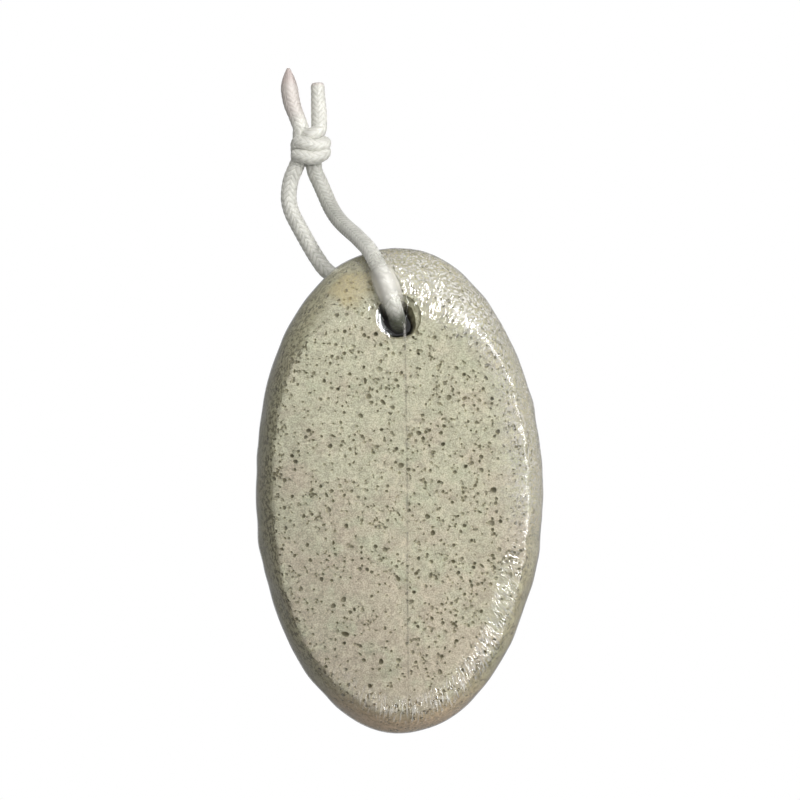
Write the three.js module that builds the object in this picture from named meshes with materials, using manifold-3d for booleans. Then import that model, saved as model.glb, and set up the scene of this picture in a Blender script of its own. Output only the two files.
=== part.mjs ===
// A bath pumice: one oval stone with two flat faces and a hole near its head, in a clear shrink film,
// with a loop of braided cord threaded through the hole and tied in a knot. It lies on its back on a
// surface at z = 0, head towards +Y. The cord's lower leg passes under the head, so the stone leans on
// it by two or three degrees. Millimetres, +Z up. The origin is under the middle of the wrapped stone.
import * as THREE from "three";
import { mergeVertices } from "three/addons/utils/BufferGeometryUtils.js";
import Module from "manifold-3d";

// ---- Driving dimensions ----

const STONE = {
  halfWidth: 27.75,
  halfLength: 47.1,
  halfThickness: 12,
  // how far in from the outline the rounding of each edge begins
  sideEdge: 5.5,
  footEdge: 7.5,
  headEdge: 17,
};
const HOLE = { x: 0.3, y: 33.7, waist: 4.05, mouth: 5.0, straight: 8.6 };
const FILM = { gap: 0.3, wall: 0.25 };
const CORD = { radius: 1.6, gap: 0.3, sides: 8, tipRadius: 0.3, tipOverlap: 0.2 };
const KNOT = { x: -16.4, y: 68, z: 3.05, across: 8.2, along: 6.4, high: 5.9 };

// How the wrapped stone lies: its foot on the surface, its head on the cord.
const REST = { pitch: 2.2, roll: 1.4, centre: [-0.15, 0.22, 14.1] };

// The cord's centre line, from the knot along the lower leg, up through the hole and down over the head.
const LOWER_LEG = [
  [-19.4, 64.4, 2.2],
  [-20.4, 62.2, 1.8],
  [-20.9, 60.0, 1.65],
  [-21.0, 57.6, 1.65],
  [-20.4, 55.2, 1.65],
  [-19.3, 52.9, 1.65],
  [-18.1, 50.6, 1.65],
  [-16.8, 48.2, 1.65],
  [-15.5, 46.0, 1.75],
  [-14.1, 44.0, 2.0],
  [-11.9, 42.2, 2.1],
  [-9.2, 40.6, 2.1],
  [-6.4, 38.9, 2.1],
  [-3.9, 37.0, 2.3],
];
const IN_HOLE = [
  [-2.0, 34.9, 3.6],
  [-0.8, 33.2, 6.4],
  [-0.1, 32.5, 9.6],
  [0.3, 32.1, 13.2],
  [0.4, 32.0, 17.4],
  [0.4, 32.1, 21.6],
];
const UPPER_LEG = [
  [0.2, 32.8, 25.1],
  [-0.2, 34.3, 27.3],
  [-0.7, 36.2, 28.5],
  [-1.3, 38.4, 28.8],
  [-2.0, 40.5, 28.3],
  [-2.8, 42.3, 27.0],
  [-3.7, 44.1, 24.9],
  [-4.6, 45.9, 22.8],
  [-5.6, 47.4, 20.4],
  [-6.3, 48.2, 18.7],
  [-7.6, 49.7, 15.5],
  [-9.0, 51.1, 12.2],
  [-10.5, 52.7, 8.9],
  [-11.8, 54.5, 5.9],
  [-12.9, 56.6, 3.5],
  [-13.8, 58.8, 2.1],
  [-14.8, 61.2, 1.7],
  [-15.6, 63.0, 1.85],
  [-15.9, 64.3, 2.2],
];
const SEALED_TAIL = [
  [-18.3, 71.7, 2.6],
  [-19.1, 74.2, 2.1],
  [-20.0, 76.8, 1.7],
  [-20.5, 79.8, 1.65],
];
const SEALED_TIP = [-20.7, 84.1, 1.0];
const CUT_TAIL = [
  [-14.8, 71.7, 2.6],
  [-14.7, 74.4, 2.1],
  [-14.8, 77.6, 1.7],
  [-14.9, 81.0, 1.65],
];

// The stretch of the cord that the film covers, as shares of the route's length.
const SLEEVED = { from: 0.245, to: 0.685, samples: 40 };

const STONE_FACETS = { around: 60, rings: 20 };
const FILM_FACETS = { around: 44, rings: 14 };
const HOLE_FACETS = 24;
const LOOP_STEPS = 34;
const SLEEVE_STEPS = 24;
const CLEARANCE_STEPS = 40;
const TAIL_STEPS = 5;

const wasm = await Module();
wasm.setup();

// ---- Geometry in and out of the boolean library ----

function solidOf(geometry) {
  const bare = geometry.clone();
  bare.deleteAttribute("normal");
  bare.deleteAttribute("uv");
  const merged = mergeVertices(bare, 1e-3);
  return new wasm.Manifold(
    new wasm.Mesh({
      numProp: 3,
      vertProperties: merged.attributes.position.array,
      triVerts: new Uint32Array(merged.index.array),
    }),
  );
}

function geometryOf(solid) {
  const mesh = solid.getMesh();
  const geometry = new THREE.BufferGeometry();
  geometry.setAttribute("position", new THREE.BufferAttribute(mesh.vertProperties, 3));
  geometry.setIndex(new THREE.BufferAttribute(mesh.triVerts, 1));
  geometry.computeVertexNormals();
  return geometry;
}

// ---- The stone's shape ----

// The outline in plan: an ellipse with the faint lumps of a stone worn by hand.
function outline(turn, grow) {
  const worn = 1 + 0.004 * Math.sin(3 * turn + 0.6) + 0.003 * Math.sin(5 * turn + 2.1);
  return new THREE.Vector2(
    (STONE.halfWidth * worn + grow) * Math.cos(turn),
    (STONE.halfLength * worn + grow) * Math.sin(turn),
  );
}

// The rounding is narrow along the sides and broad over the head.
function edgeWidth(turn) {
  const head = Math.max(0, Math.sin(turn)) ** 4;
  const foot = Math.max(0, -Math.sin(turn)) ** 4;
  return (
    STONE.sideEdge +
    head * (STONE.headEdge - STONE.sideEdge) +
    foot * (STONE.footEdge - STONE.sideEdge)
  );
}

// A point of the skin that stands `grow` off the stone. Most latitudes go round the edge, and the rest
// cross the flat face.
function skinPoint(turn, latitude, grow) {
  const rounded = 0.7;
  const share = Math.abs(latitude) / (Math.PI / 2);
  const rim = outline(turn, grow);
  const edge = edgeWidth(turn) + grow;
  const half = STONE.halfThickness + grow;
  let inward = edge;
  let height = half;
  if (share < rounded) {
    const bend = (share / rounded) * (Math.PI / 2);
    inward = edge * (1 - Math.cos(bend));
    height = half * Math.sin(bend);
  } else {
    inward += ((rim.length() - edge) * (share - rounded)) / (1 - rounded);
  }
  const scale = 1 - inward / rim.length();
  return [rim.x * scale, rim.y * scale, Math.sign(latitude) * height];
}

function skin(grow, facets) {
  const ball = new THREE.SphereGeometry(1, facets.around, facets.rings);
  ball.rotateX(Math.PI / 2);
  const places = ball.attributes.position;
  const place = new THREE.Vector3();
  for (let i = 0; i < places.count; i++) {
    place.fromBufferAttribute(places, i);
    const turn = Math.atan2(place.y, place.x);
    const latitude = Math.asin(THREE.MathUtils.clamp(place.z, -1, 1));
    places.setXYZ(i, ...skinPoint(turn, latitude, grow));
  }
  return ball;
}

// The hole's cutter: a straight waist that flares at both mouths, where the rim is rounded over.
function holeCutter() {
  const { waist, mouth, straight } = HOLE;
  const past = 1.25 * STONE.halfThickness;
  const flare = STONE.halfThickness - straight;
  const upper = [0, 30, 60, 90].map((degrees) => {
    const bend = THREE.MathUtils.degToRad(degrees);
    return new THREE.Vector2(
      waist + (mouth - waist) * (1 - Math.cos(bend)),
      straight + flare * Math.sin(bend),
    );
  });
  const half = [...upper, new THREE.Vector2(mouth, past), new THREE.Vector2(0, past)];
  const mirrored = half.map((point) => new THREE.Vector2(point.x, -point.y)).reverse();
  const cutter = new THREE.LatheGeometry([...mirrored, ...half], HOLE_FACETS);
  cutter.rotateX(Math.PI / 2);
  return cutter.translate(HOLE.x, HOLE.y, 0);
}

function stoneGeometry() {
  return geometryOf(solidOf(skin(0, STONE_FACETS)).subtract(solidOf(holeCutter())));
}

// ---- The cord ----

function curveThrough(points) {
  const places = points.map((point) => new THREE.Vector3(...point));
  return new THREE.CatmullRomCurve3(places, false, "centripetal");
}

function tube(curve, radius, steps) {
  const corners = Array.from({ length: CORD.sides }, (_, i) => {
    const turn = ((i + 0.5) / CORD.sides) * 2 * Math.PI;
    return new THREE.Vector2(radius * Math.cos(turn), radius * Math.sin(turn));
  });
  return new THREE.ExtrudeGeometry(new THREE.Shape(corners), {
    steps,
    bevelEnabled: false,
    extrudePath: curve,
  });
}

// The heat-sealed end is drawn out to a blunt point.
function sealedTailGeometry() {
  const curve = curveThrough(SEALED_TAIL);
  const from = curve.getPointAt(1);
  const to = new THREE.Vector3(...SEALED_TIP);
  const along = to.clone().sub(from);
  const tipLength = along.length() + 2 * CORD.tipOverlap;
  const tip = new THREE.CylinderGeometry(CORD.tipRadius, CORD.radius, tipLength, CORD.sides);
  const aim = new THREE.Quaternion().setFromUnitVectors(
    new THREE.Vector3(0, 1, 0),
    along.clone().normalize(),
  );
  tip.applyQuaternion(aim);
  const middle = from.clone().add(to).multiplyScalar(0.5);
  tip.translate(middle.x, middle.y, middle.z);
  return geometryOf(solidOf(tube(curve, CORD.radius, TAIL_STEPS)).add(solidOf(tip)));
}

// ---- The film ----

const route = curveThrough([...LOWER_LEG, ...IN_HOLE, ...UPPER_LEG]);

const restTurn = new THREE.Euler(
  THREE.MathUtils.degToRad(REST.pitch),
  THREE.MathUtils.degToRad(REST.roll),
  0,
);
const intoStone = new THREE.Matrix4()
  .compose(
    new THREE.Vector3(...REST.centre),
    new THREE.Quaternion().setFromEuler(restTurn),
    new THREE.Vector3(1, 1, 1),
  )
  .invert();

// The film stands off the stone and off the two legs of cord that lie against it. Each leg leaves it
// through a sleeve.
function filmGeometry() {
  const { from, to, samples } = SLEEVED;
  const places = Array.from({ length: samples + 1 }, (_, i) =>
    route.getPointAt(from + ((to - from) * i) / samples).applyMatrix4(intoStone),
  );
  const covered = new THREE.CatmullRomCurve3(places, false, "centripetal");
  const clearance = CORD.radius + CORD.gap;
  const sleeves = tube(covered, clearance + FILM.wall, SLEEVE_STEPS);
  const channel = tube(route, clearance, CLEARANCE_STEPS).applyMatrix4(intoStone);
  const outer = solidOf(skin(FILM.gap + FILM.wall, FILM_FACETS)).add(solidOf(sleeves));
  const inner = solidOf(skin(FILM.gap, FILM_FACETS)).add(solidOf(channel));
  return geometryOf(outer.subtract(inner));
}

// ---- Materials and the scene graph ----

const pumice = new THREE.MeshStandardMaterial({ color: 0xbab59f, roughness: 0.9 });
const clearFilm = new THREE.MeshStandardMaterial({
  color: 0xf4f6f6,
  roughness: 0.12,
  transparent: true,
  opacity: 0.2,
});
const whiteBraid = new THREE.MeshStandardMaterial({ color: 0xe8e6dd, roughness: 0.7 });

function named(name, geometry, material) {
  const mesh = new THREE.Mesh(geometry, material);
  mesh.name = name;
  return mesh;
}

const pumiceStone = new THREE.Group();

const wrapped = new THREE.Group();
wrapped.position.set(...REST.centre);
wrapped.rotation.copy(restTurn);
wrapped.add(named("pumice_stone", stoneGeometry(), pumice));
wrapped.add(named("shrink_film", filmGeometry(), clearFilm));
pumiceStone.add(wrapped);

const cord = new THREE.Group();
cord.add(named("cord_loop", tube(route, CORD.radius, LOOP_STEPS), whiteBraid));
cord.add(named("cord_tail_sealed", sealedTailGeometry(), whiteBraid));
cord.add(
  named("cord_tail_cut", tube(curveThrough(CUT_TAIL), CORD.radius, TAIL_STEPS), whiteBraid),
);
const knot = named("cord_knot", new THREE.SphereGeometry(0.5, 16, 10), whiteBraid);
knot.position.set(KNOT.x, KNOT.y, KNOT.z);
knot.scale.set(KNOT.across, KNOT.along, KNOT.high);
cord.add(knot);
pumiceStone.add(cord);

export default pumiceStone;
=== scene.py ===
"""An oval bath pumice in clear shrink film, on a knotted loop of braided cord.

It lies on its back on a pale floor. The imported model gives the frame, and this script gives the looks:
a pored stone, a thin film that is stretched over the stone and the cord, and a braid with real ribs.
Lengths are in metres, +Z is up, and the stone's head is towards +Y.
"""

import logging
import math
from dataclasses import dataclass
from enum import Enum

import bpy
import numpy as np
from mathutils import Matrix, Vector
from mathutils.geometry import delaunay_2d_cdt


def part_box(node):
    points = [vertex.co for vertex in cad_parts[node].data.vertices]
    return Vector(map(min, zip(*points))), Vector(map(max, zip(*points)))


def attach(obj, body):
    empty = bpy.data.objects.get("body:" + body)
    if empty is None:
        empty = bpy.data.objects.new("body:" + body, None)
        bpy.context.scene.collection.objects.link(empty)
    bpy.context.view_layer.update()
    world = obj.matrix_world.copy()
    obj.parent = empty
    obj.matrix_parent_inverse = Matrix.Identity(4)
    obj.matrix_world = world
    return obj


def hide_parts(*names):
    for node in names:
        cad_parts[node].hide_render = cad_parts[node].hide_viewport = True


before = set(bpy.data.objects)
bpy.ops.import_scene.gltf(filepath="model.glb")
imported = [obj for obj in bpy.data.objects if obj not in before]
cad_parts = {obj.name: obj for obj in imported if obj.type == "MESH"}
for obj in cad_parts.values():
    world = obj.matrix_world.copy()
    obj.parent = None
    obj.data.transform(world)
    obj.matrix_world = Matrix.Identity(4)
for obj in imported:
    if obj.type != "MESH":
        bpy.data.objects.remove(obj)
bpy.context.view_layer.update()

MM = 0.001
FULL_TURN = 2 * math.pi
ROOT = "root"
LOG = logging.getLogger("pumice")


class Side(Enum):
    """The two faces of the stone, by the direction in which each one looks."""

    FRONT = 1
    BACK = -1


class Reach(Enum):
    """The kind of surface that a lamp lights."""

    BOTH = "both"
    MATT = "matt"
    GLOSS = "gloss"


# ---- Shared helpers ----


@dataclass(frozen=True)
class WaveField:
    """A smooth random field in space, made of plane waves.

    Attributes:
        wavelength: The middle wavelength.
        height: The usual size of the field's values.
        waves: How many waves are added up.
        seed: The seed of the waves' directions and phases.
    """

    wavelength: float
    height: float
    waves: int
    seed: int

    def at(self, places: np.ndarray) -> np.ndarray:
        """Gives the field's value at each place.

        Args:
            places: Points in space, one a row.

        Returns:
            One value a point.
        """
        rng = np.random.default_rng(self.seed)
        total = np.zeros(len(places))
        for _ in range(self.waves):
            heading = rng.normal(size=3)
            heading /= np.linalg.norm(heading)
            length = self.wavelength * rng.uniform(0.6, 1.6)
            total += np.sin(places @ heading * (FULL_TURN / length) + rng.uniform(0, FULL_TURN))
        return self.height * total * math.sqrt(2 / self.waves)


def smooth_step(values: np.ndarray, low: float, high: float) -> np.ndarray:
    """Rises smoothly from 0 at low to 1 at high."""
    share = np.clip((values - low) / (high - low), 0, 1)
    return share * share * (3 - 2 * share)


def window(values: np.ndarray, low: float, rise: float, fall: float, high: float) -> np.ndarray:
    """Rises smoothly from 0 at low to 1 at rise, and falls back from 1 at fall to 0 at high."""
    return smooth_step(values, low, rise) * smooth_step(values, high, fall)


def smooth_larger(first: np.ndarray, second: np.ndarray, softness: float) -> np.ndarray:
    """Gives the larger of two values, with the corner between them rounded.

    Args:
        first: One set of values.
        second: The other set.
        softness: How far the rounding reaches.

    Returns:
        The larger values, rounded where the two are close.
    """
    gap = first - second
    return (first + second + np.sqrt(gap * gap + softness * softness)) / 2


def distances_along(line: np.ndarray) -> np.ndarray:
    """Gives each point's distance along a line of points, from its first one."""
    return np.concatenate([[0], np.cumsum(np.linalg.norm(np.diff(line, axis=0), axis=1))])


def directions(angle: np.ndarray) -> np.ndarray:
    """Gives the unit vector at an angle in the plane, or those at several angles, one a row."""
    return np.stack([np.cos(angle), np.sin(angle)], axis=-1)


def piece_from(name: str, places: np.ndarray, faces: list) -> bpy.types.Object:
    """Makes a smooth-shaded mesh piece from points and faces.

    Args:
        name: The piece's name.
        places: The vertices, one a row.
        faces: The faces, as lists of vertex numbers.

    Returns:
        The new object, linked to the scene.
    """
    mesh = bpy.data.meshes.new(name)
    mesh.from_pydata(places.tolist(), [], faces)
    mesh.validate()
    mesh.shade_smooth()
    piece = bpy.data.objects.new(name, mesh)
    bpy.context.scene.collection.objects.link(piece)
    return piece


def write_attribute(piece: bpy.types.Object, name: str, values: np.ndarray) -> None:
    """Stores one number or one vector a vertex on a piece, for its finish to read.

    Args:
        piece: The piece.
        name: The name by which the finish reads the values.
        values: The numbers, or the vectors one a row.
    """
    kind, field = ("FLOAT", "value") if values.ndim == 1 else ("FLOAT_VECTOR", "vector")
    attribute = piece.data.attributes.new(name, kind, "POINT")
    attribute.data.foreach_set(field, values.astype(np.float32).ravel())


class NodeSheet:
    """A material's node tree, with short ways to add and join its nodes."""

    def __init__(self, name: str) -> None:
        """Starts an empty material.

        Args:
            name: The material's name.
        """
        self.material = bpy.data.materials.new(name)
        self.material.use_nodes = True
        self.tree = self.material.node_tree
        self.tree.nodes.clear()

    def add(self, kind: str, inputs: dict | None = None, **settings: object) -> bpy.types.Node:
        """Adds a node.

        Args:
            kind: The node's type, such as ShaderNodeMath.
            inputs: Input names or numbers, each with a value or the output socket that feeds it.
            **settings: The node's own properties.

        Returns:
            The new node.
        """
        node = self.tree.nodes.new(kind)
        for key, value in settings.items():
            setattr(node, key, value)
        for key, value in (inputs or {}).items():
            if isinstance(value, bpy.types.NodeSocket):
                self.tree.links.new(value, node.inputs[key])
            else:
                node.inputs[key].default_value = value
        return node

    def maths(self, operation: str, first: object, second: object = 0.0) -> bpy.types.NodeSocket:
        """Gives the result of a sum on two numbers or sockets."""
        return self.add("ShaderNodeMath", {0: first, 1: second}, operation=operation).outputs[0]

    def vectors(self, operation: str, first: object, second: object = (0, 0, 0)) -> bpy.types.NodeSocket:
        """Gives the result of a sum on two vectors or sockets."""
        return self.add("ShaderNodeVectorMath", {0: first, 1: second}, operation=operation).outputs[0]

    def places(self) -> bpy.types.NodeSocket:
        """Gives each point's place on the piece."""
        return self.add("ShaderNodeTexCoord").outputs["Object"]

    def noise(self, places: object, size: float, detail: float = 2.0, roughness: float = 0.5) -> object:
        """Gives a noise from 0 to 1 whose lumps are about `size` metres across."""
        inputs = {"Vector": places, "Scale": 1 / size, "Detail": detail, "Roughness": roughness}
        return self.add("ShaderNodeTexNoise", inputs).outputs[0]

    def ramp(self, value: object, low: float, high: float, start: float = 0.0, end: float = 1.0) -> object:
        """Maps a number smoothly from low..high to start..end."""
        inputs = {"Value": value, "From Min": low, "From Max": high, "To Min": start, "To Max": end}
        return self.add("ShaderNodeMapRange", inputs, interpolation_type="SMOOTHSTEP").outputs[0]

    def blend(self, share: object, first: object, second: object, how: str = "MIX") -> object:
        """Mixes two colours by a share.

        Args:
            share: How much of the second one shows, as a number or a socket.
            first: A colour (four numbers) or a socket.
            second: A colour (four numbers) or a socket.
            how: The kind of mix.

        Returns:
            The mixed colour's socket.
        """
        inputs = {0: share, 6: first, 7: second}
        return self.add("ShaderNodeMix", inputs, data_type="RGBA", blend_type=how).outputs[2]

    def cells(self, places: object, scale: float = 1.0) -> bpy.types.Node:
        """Adds flat random cells, about 1 / scale across."""
        inputs = {"Vector": places, "Scale": scale}
        return self.add("ShaderNodeTexVoronoi", inputs, voronoi_dimensions="2D")

    def grey(self, value: object) -> bpy.types.NodeSocket:
        """Gives the grey of a brightness."""
        return self.add("ShaderNodeCombineColor", {0: value, 1: value, 2: value}).outputs[0]

    def shaded(self, tone: object, value: object) -> bpy.types.NodeSocket:
        """Gives a colour that is made brighter or darker by a factor."""
        return self.blend(1.0, tone, self.grey(value), "MULTIPLY")

    def attribute(self, name: str, output: str = "Fac") -> bpy.types.NodeSocket:
        """Gives a number, or with output "Vector" a vector, that is stored on the piece's vertices."""
        return self.add("ShaderNodeAttribute", attribute_name=name).outputs[output]

    def finish(self, surface: bpy.types.NodeSocket) -> bpy.types.Material:
        """Sends a shader to the output and gives the material."""
        self.add("ShaderNodeOutputMaterial", {"Surface": surface})
        return self.material


def colour(red: float, green: float, blue: float) -> tuple[float, float, float, float]:
    """Gives an opaque colour."""
    return (red, green, blue, 1.0)


# ---- The cord's route ----

LOWER_LEG = [
    (-0.0194, 0.0644, 0.0022), (-0.0204, 0.0622, 0.0018), (-0.0209, 0.0600, 0.00165),
    (-0.0210, 0.0576, 0.00165), (-0.0204, 0.0552, 0.00165), (-0.0193, 0.0529, 0.00165),
    (-0.0181, 0.0506, 0.00165), (-0.0168, 0.0482, 0.00165), (-0.0155, 0.0460, 0.00175),
    (-0.0141, 0.0440, 0.0020), (-0.0119, 0.0422, 0.0021), (-0.0092, 0.0406, 0.0021),
    (-0.0064, 0.0389, 0.0021), (-0.0039, 0.0370, 0.0023),
]
IN_HOLE = [
    (-0.0020, 0.0349, 0.0036), (-0.0008, 0.0332, 0.0064), (-0.0001, 0.0325, 0.0096),
    (0.0003, 0.0321, 0.0132), (0.0004, 0.0320, 0.0174), (0.0004, 0.0321, 0.0216),
]
UPPER_LEG = [
    (0.0002, 0.0328, 0.0251), (-0.0002, 0.0343, 0.0273), (-0.0007, 0.0362, 0.0285),
    (-0.0013, 0.0384, 0.0288), (-0.0020, 0.0405, 0.0283), (-0.0028, 0.0423, 0.0270),
    (-0.0037, 0.0441, 0.0249), (-0.0046, 0.0459, 0.0228), (-0.0056, 0.0474, 0.0204),
    (-0.0063, 0.0482, 0.0187), (-0.0076, 0.0497, 0.0155), (-0.0090, 0.0511, 0.0122),
    (-0.0105, 0.0527, 0.0089), (-0.0118, 0.0545, 0.0059), (-0.0129, 0.0566, 0.0035),
    (-0.0138, 0.0588, 0.0021), (-0.0148, 0.0612, 0.0017), (-0.0156, 0.0630, 0.00185),
    (-0.0159, 0.0643, 0.0022),
]
# The knot's two strands, from its middle. One runs from the lower leg to the cut tail, and the other from
# the upper leg to the sealed tail, and each one is wound once round the other.
FIRST_WRAP = [
    (-0.0027, -0.0026, -0.0012), (-0.0027, -0.0006, -0.0008), (-0.0025, 0.0010, 0.0006),
    (-0.0012, 0.0008, 0.0015), (0.0004, 0.0003, 0.0016), (0.0019, 0.0004, 0.0012),
    (0.0027, 0.0009, 0.0001), (0.0020, 0.0008, -0.0012), (0.0005, 0.0012, -0.0016),
    (-0.0010, 0.0019, -0.0013), (-0.0009, 0.0025, -0.0001), (0.0002, 0.0026, 0.0009),
    (0.0011, 0.0030, 0.0004),
]
SECOND_WRAP = [
    (0.0005, -0.0029, -0.0012), (-0.0008, -0.0023, -0.0015), (-0.0022, -0.0020, -0.0008),
    (-0.0027, -0.0015, 0.0004), (-0.0018, -0.0017, 0.0014), (-0.0001, -0.0021, 0.0017),
    (0.0016, -0.0018, 0.0013), (0.0026, -0.0010, 0.0002), (0.0021, -0.0002, -0.0012),
    (0.0006, 0.0004, -0.0017), (-0.0012, 0.0010, -0.0016), (-0.0022, 0.0019, -0.0009),
    (-0.0021, 0.0029, -0.0005),
]
SEALED_TAIL = [
    (-0.0183, 0.0717, 0.0026), (-0.0191, 0.0742, 0.0021), (-0.0200, 0.0768, 0.0017),
    (-0.0205, 0.0798, 0.00165), (-0.0207, 0.0841, 0.0010),
]
CUT_TAIL = [
    (-0.0148, 0.0717, 0.0026), (-0.0147, 0.0744, 0.0021), (-0.0148, 0.0776, 0.0017),
    (-0.0149, 0.0810, 0.00165),
]


def smooth_line(points: list, step: float) -> np.ndarray:
    """Runs a centripetal spline through points and cuts it into even steps.

    Args:
        points: The points that the line passes through.
        step: The wished length of a step.

    Returns:
        Points along the line, one a row, with both ends kept.
    """
    hand = np.asarray(points, float)
    hand = np.vstack([2 * hand[0] - hand[1], hand, 2 * hand[-1] - hand[-2]])
    fine = []
    for start in range(len(hand) - 3):
        a, b, c, d = hand[start : start + 4]
        gaps = [math.sqrt(np.linalg.norm(q - p)) for p, q in ((a, b), (b, c), (c, d))]
        t1, t2, t3 = np.cumsum(gaps)
        t = np.linspace(t1, t2, 24, endpoint=False)[:, None]
        ab = (t1 - t) / t1 * a + t / t1 * b
        bc = (t2 - t) / (t2 - t1) * b + (t - t1) / (t2 - t1) * c
        cd = (t3 - t) / (t3 - t2) * c + (t - t2) / (t3 - t2) * d
        abc = (t2 - t) / t2 * ab + t / t2 * bc
        bcd = (t3 - t) / (t3 - t1) * bc + (t - t1) / (t3 - t1) * cd
        fine.append((t2 - t) / (t2 - t1) * abc + (t - t1) / (t2 - t1) * bcd)
    line = np.vstack([*fine, hand[-2]])
    along = distances_along(line)
    even = np.linspace(0, along[-1], max(2, round(along[-1] / step)) + 1)
    return np.stack([np.interp(even, along, line[:, k]) for k in range(3)], axis=1)


# ---- Finishes ----


@dataclass(frozen=True)
class PumiceFinish:
    """Dry pumice: a beige, fine-grained matrix with olive-brown pores.

    Attributes:
        beige: The main colour.
        warm: The pinker patches, more of them towards the foot.
        cool: The greener patches.
        pore: The colour at the bottom of a pore: olive-brown, darkened as painted shade.
        ochre: The warm colour of the painted shadow beside the cord.
        edge: The browner colour of the rounded edges.
        ruddy: The colour of the edge at the foot.
        grain: The size of the grain.
        patch: The size of the patches of colour.
        pock: The size of the shallow pocks on the edges.
        speck: The distance between the finest dark specks.
        wear: The size of the faintly darker spots.
        cord_shadow_middle: The middle of the painted shadow beside the cord.
    """

    beige: tuple = colour(0.487, 0.467, 0.342)
    warm: tuple = colour(0.487, 0.425, 0.322)
    cool: tuple = colour(0.456, 0.456, 0.325)
    pore: tuple = colour(0.097, 0.084, 0.038)
    ochre: tuple = colour(0.52, 0.42, 0.19)
    edge: tuple = colour(0.47, 0.43, 0.255)
    ruddy: tuple = colour(0.74, 0.53, 0.35)
    grain: float = 0.29 * MM
    patch: float = 7 * MM
    pock: float = 0.8 * MM
    speck: float = 0.9 * MM
    wear: float = 2.2 * MM
    cord_shadow_middle: tuple[float, float, float] = (-8 * MM, 39 * MM, 24 * MM)

    def material(self) -> bpy.types.Material:
        """Makes the stone's material.

        Returns:
            The material, ready to be put on a piece.
        """
        sheet = NodeSheet("dry_pumice")
        places = sheet.places()
        moved = sheet.vectors("ADD", places, (0.3, 0.1, 0.2))
        across, along, _ = sheet.add("ShaderNodeSeparateXYZ", {0: places}).outputs
        # Broad patches, warmer towards the foot, and a fine grain.
        patches = sheet.noise(places, self.patch, 3.0)
        warmth = sheet.maths("ADD", patches, sheet.ramp(along, 0.03, -0.045, 0.0, 0.30))
        tone = sheet.blend(sheet.ramp(warmth, 0.44, 0.86), self.beige, self.warm)
        green = sheet.ramp(sheet.noise(moved, self.patch * 0.6, 4.0), 0.48, 0.8)
        tone = sheet.blend(green, tone, self.cool)
        fine = sheet.noise(places, self.grain, 3.0, 0.65)
        coarse = sheet.noise(moved, self.grain * 3.2, 3.0, 0.6)
        mixed = sheet.maths("MULTIPLY", fine, 1.35), sheet.maths("MULTIPLY", coarse, 0.65)
        tone = sheet.shaded(tone, sheet.ramp(sheet.maths("ADD", *mixed), 0.70, 1.30, 0.66, 1.27))
        # The rounded edges are browner and pocked, and ruddy at the foot.
        facing = sheet.add("ShaderNodeNewGeometry").outputs["Normal"]
        level = sheet.maths("ABSOLUTE", sheet.add("ShaderNodeSeparateXYZ", {0: facing}).outputs[2])
        edges = sheet.ramp(level, 0.92, 0.5)
        tone = sheet.blend(sheet.maths("MULTIPLY", edges, 0.6), tone, self.edge)
        foot = sheet.maths("MULTIPLY", edges, sheet.ramp(along, -0.034, -0.045, 0.0, 0.8))
        tone = sheet.blend(foot, tone, self.ruddy)
        pocks = sheet.ramp(sheet.noise(moved, self.pock, 3.0, 0.65), 0.46, 0.58)
        pocks = sheet.maths("MULTIPLY", pocks, sheet.ramp(across, -12 * MM, -21 * MM, 0.4, 0.8))
        pocks = sheet.maths("MULTIPLY", pocks, sheet.ramp(level, 0.1, 0.5, 0.3, 1.0))
        tone = sheet.blend(sheet.maths("MULTIPLY", edges, pocks), tone, self.pore)
        # Painted shade: the face darkens towards the lower left, as where the light falls off. Specks are
        # dark, and the pores get painted shade.
        falloff_shade = sheet.maths("ADD", across, sheet.maths("MULTIPLY", along, 0.35))
        tone = sheet.shaded(tone, sheet.ramp(falloff_shade, -1 * MM, -26 * MM, 1.0, 0.80))
        specks = sheet.add("ShaderNodeTexVoronoi", {"Vector": places, "Scale": 1 / self.speck}, feature="F1")
        tone = sheet.blend(sheet.ramp(specks.outputs["Distance"], 0.20, 0.07, 0.0, 0.45), tone, self.pore)
        # Painted shade in the pores and down the hole's wall: the stored share mixes in the dark pore colour.
        tone = sheet.blend(sheet.attribute("hollow_shade"), tone, self.pore)
        # The painted warm shadow beside the cord, the worn spots and the relief of the grain.
        far = sheet.add("ShaderNodeVectorMath", {0: places, 1: self.cord_shadow_middle}, operation="DISTANCE")
        near = sheet.ramp(far.outputs[1], 8 * MM, 2 * MM, -0.5, 0.2)
        cord_shadow = sheet.ramp(sheet.maths("ADD", patches, near), 0.3, 0.7, 0, 0.6)
        tone = sheet.blend(cord_shadow, tone, self.ochre)
        worn = sheet.noise(places, self.wear, 2.0)
        tone = sheet.blend(sheet.ramp(worn, 0.35, 0.75, 0.0, 0.16), tone, self.pore)
        relief = sheet.maths("ADD", fine, sheet.maths("MULTIPLY", coarse, 1.4))
        bump = sheet.add("ShaderNodeBump", {"Height": relief, "Strength": 0.55, "Distance": 0.10 * MM})
        surface = sheet.add(
            "ShaderNodeBsdfPrincipled",
            {"Base Color": tone, "Roughness": 0.92, "Specular IOR Level": 0.25, "Normal": bump.outputs[0]},
        )
        return sheet.finish(surface.outputs[0])


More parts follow.
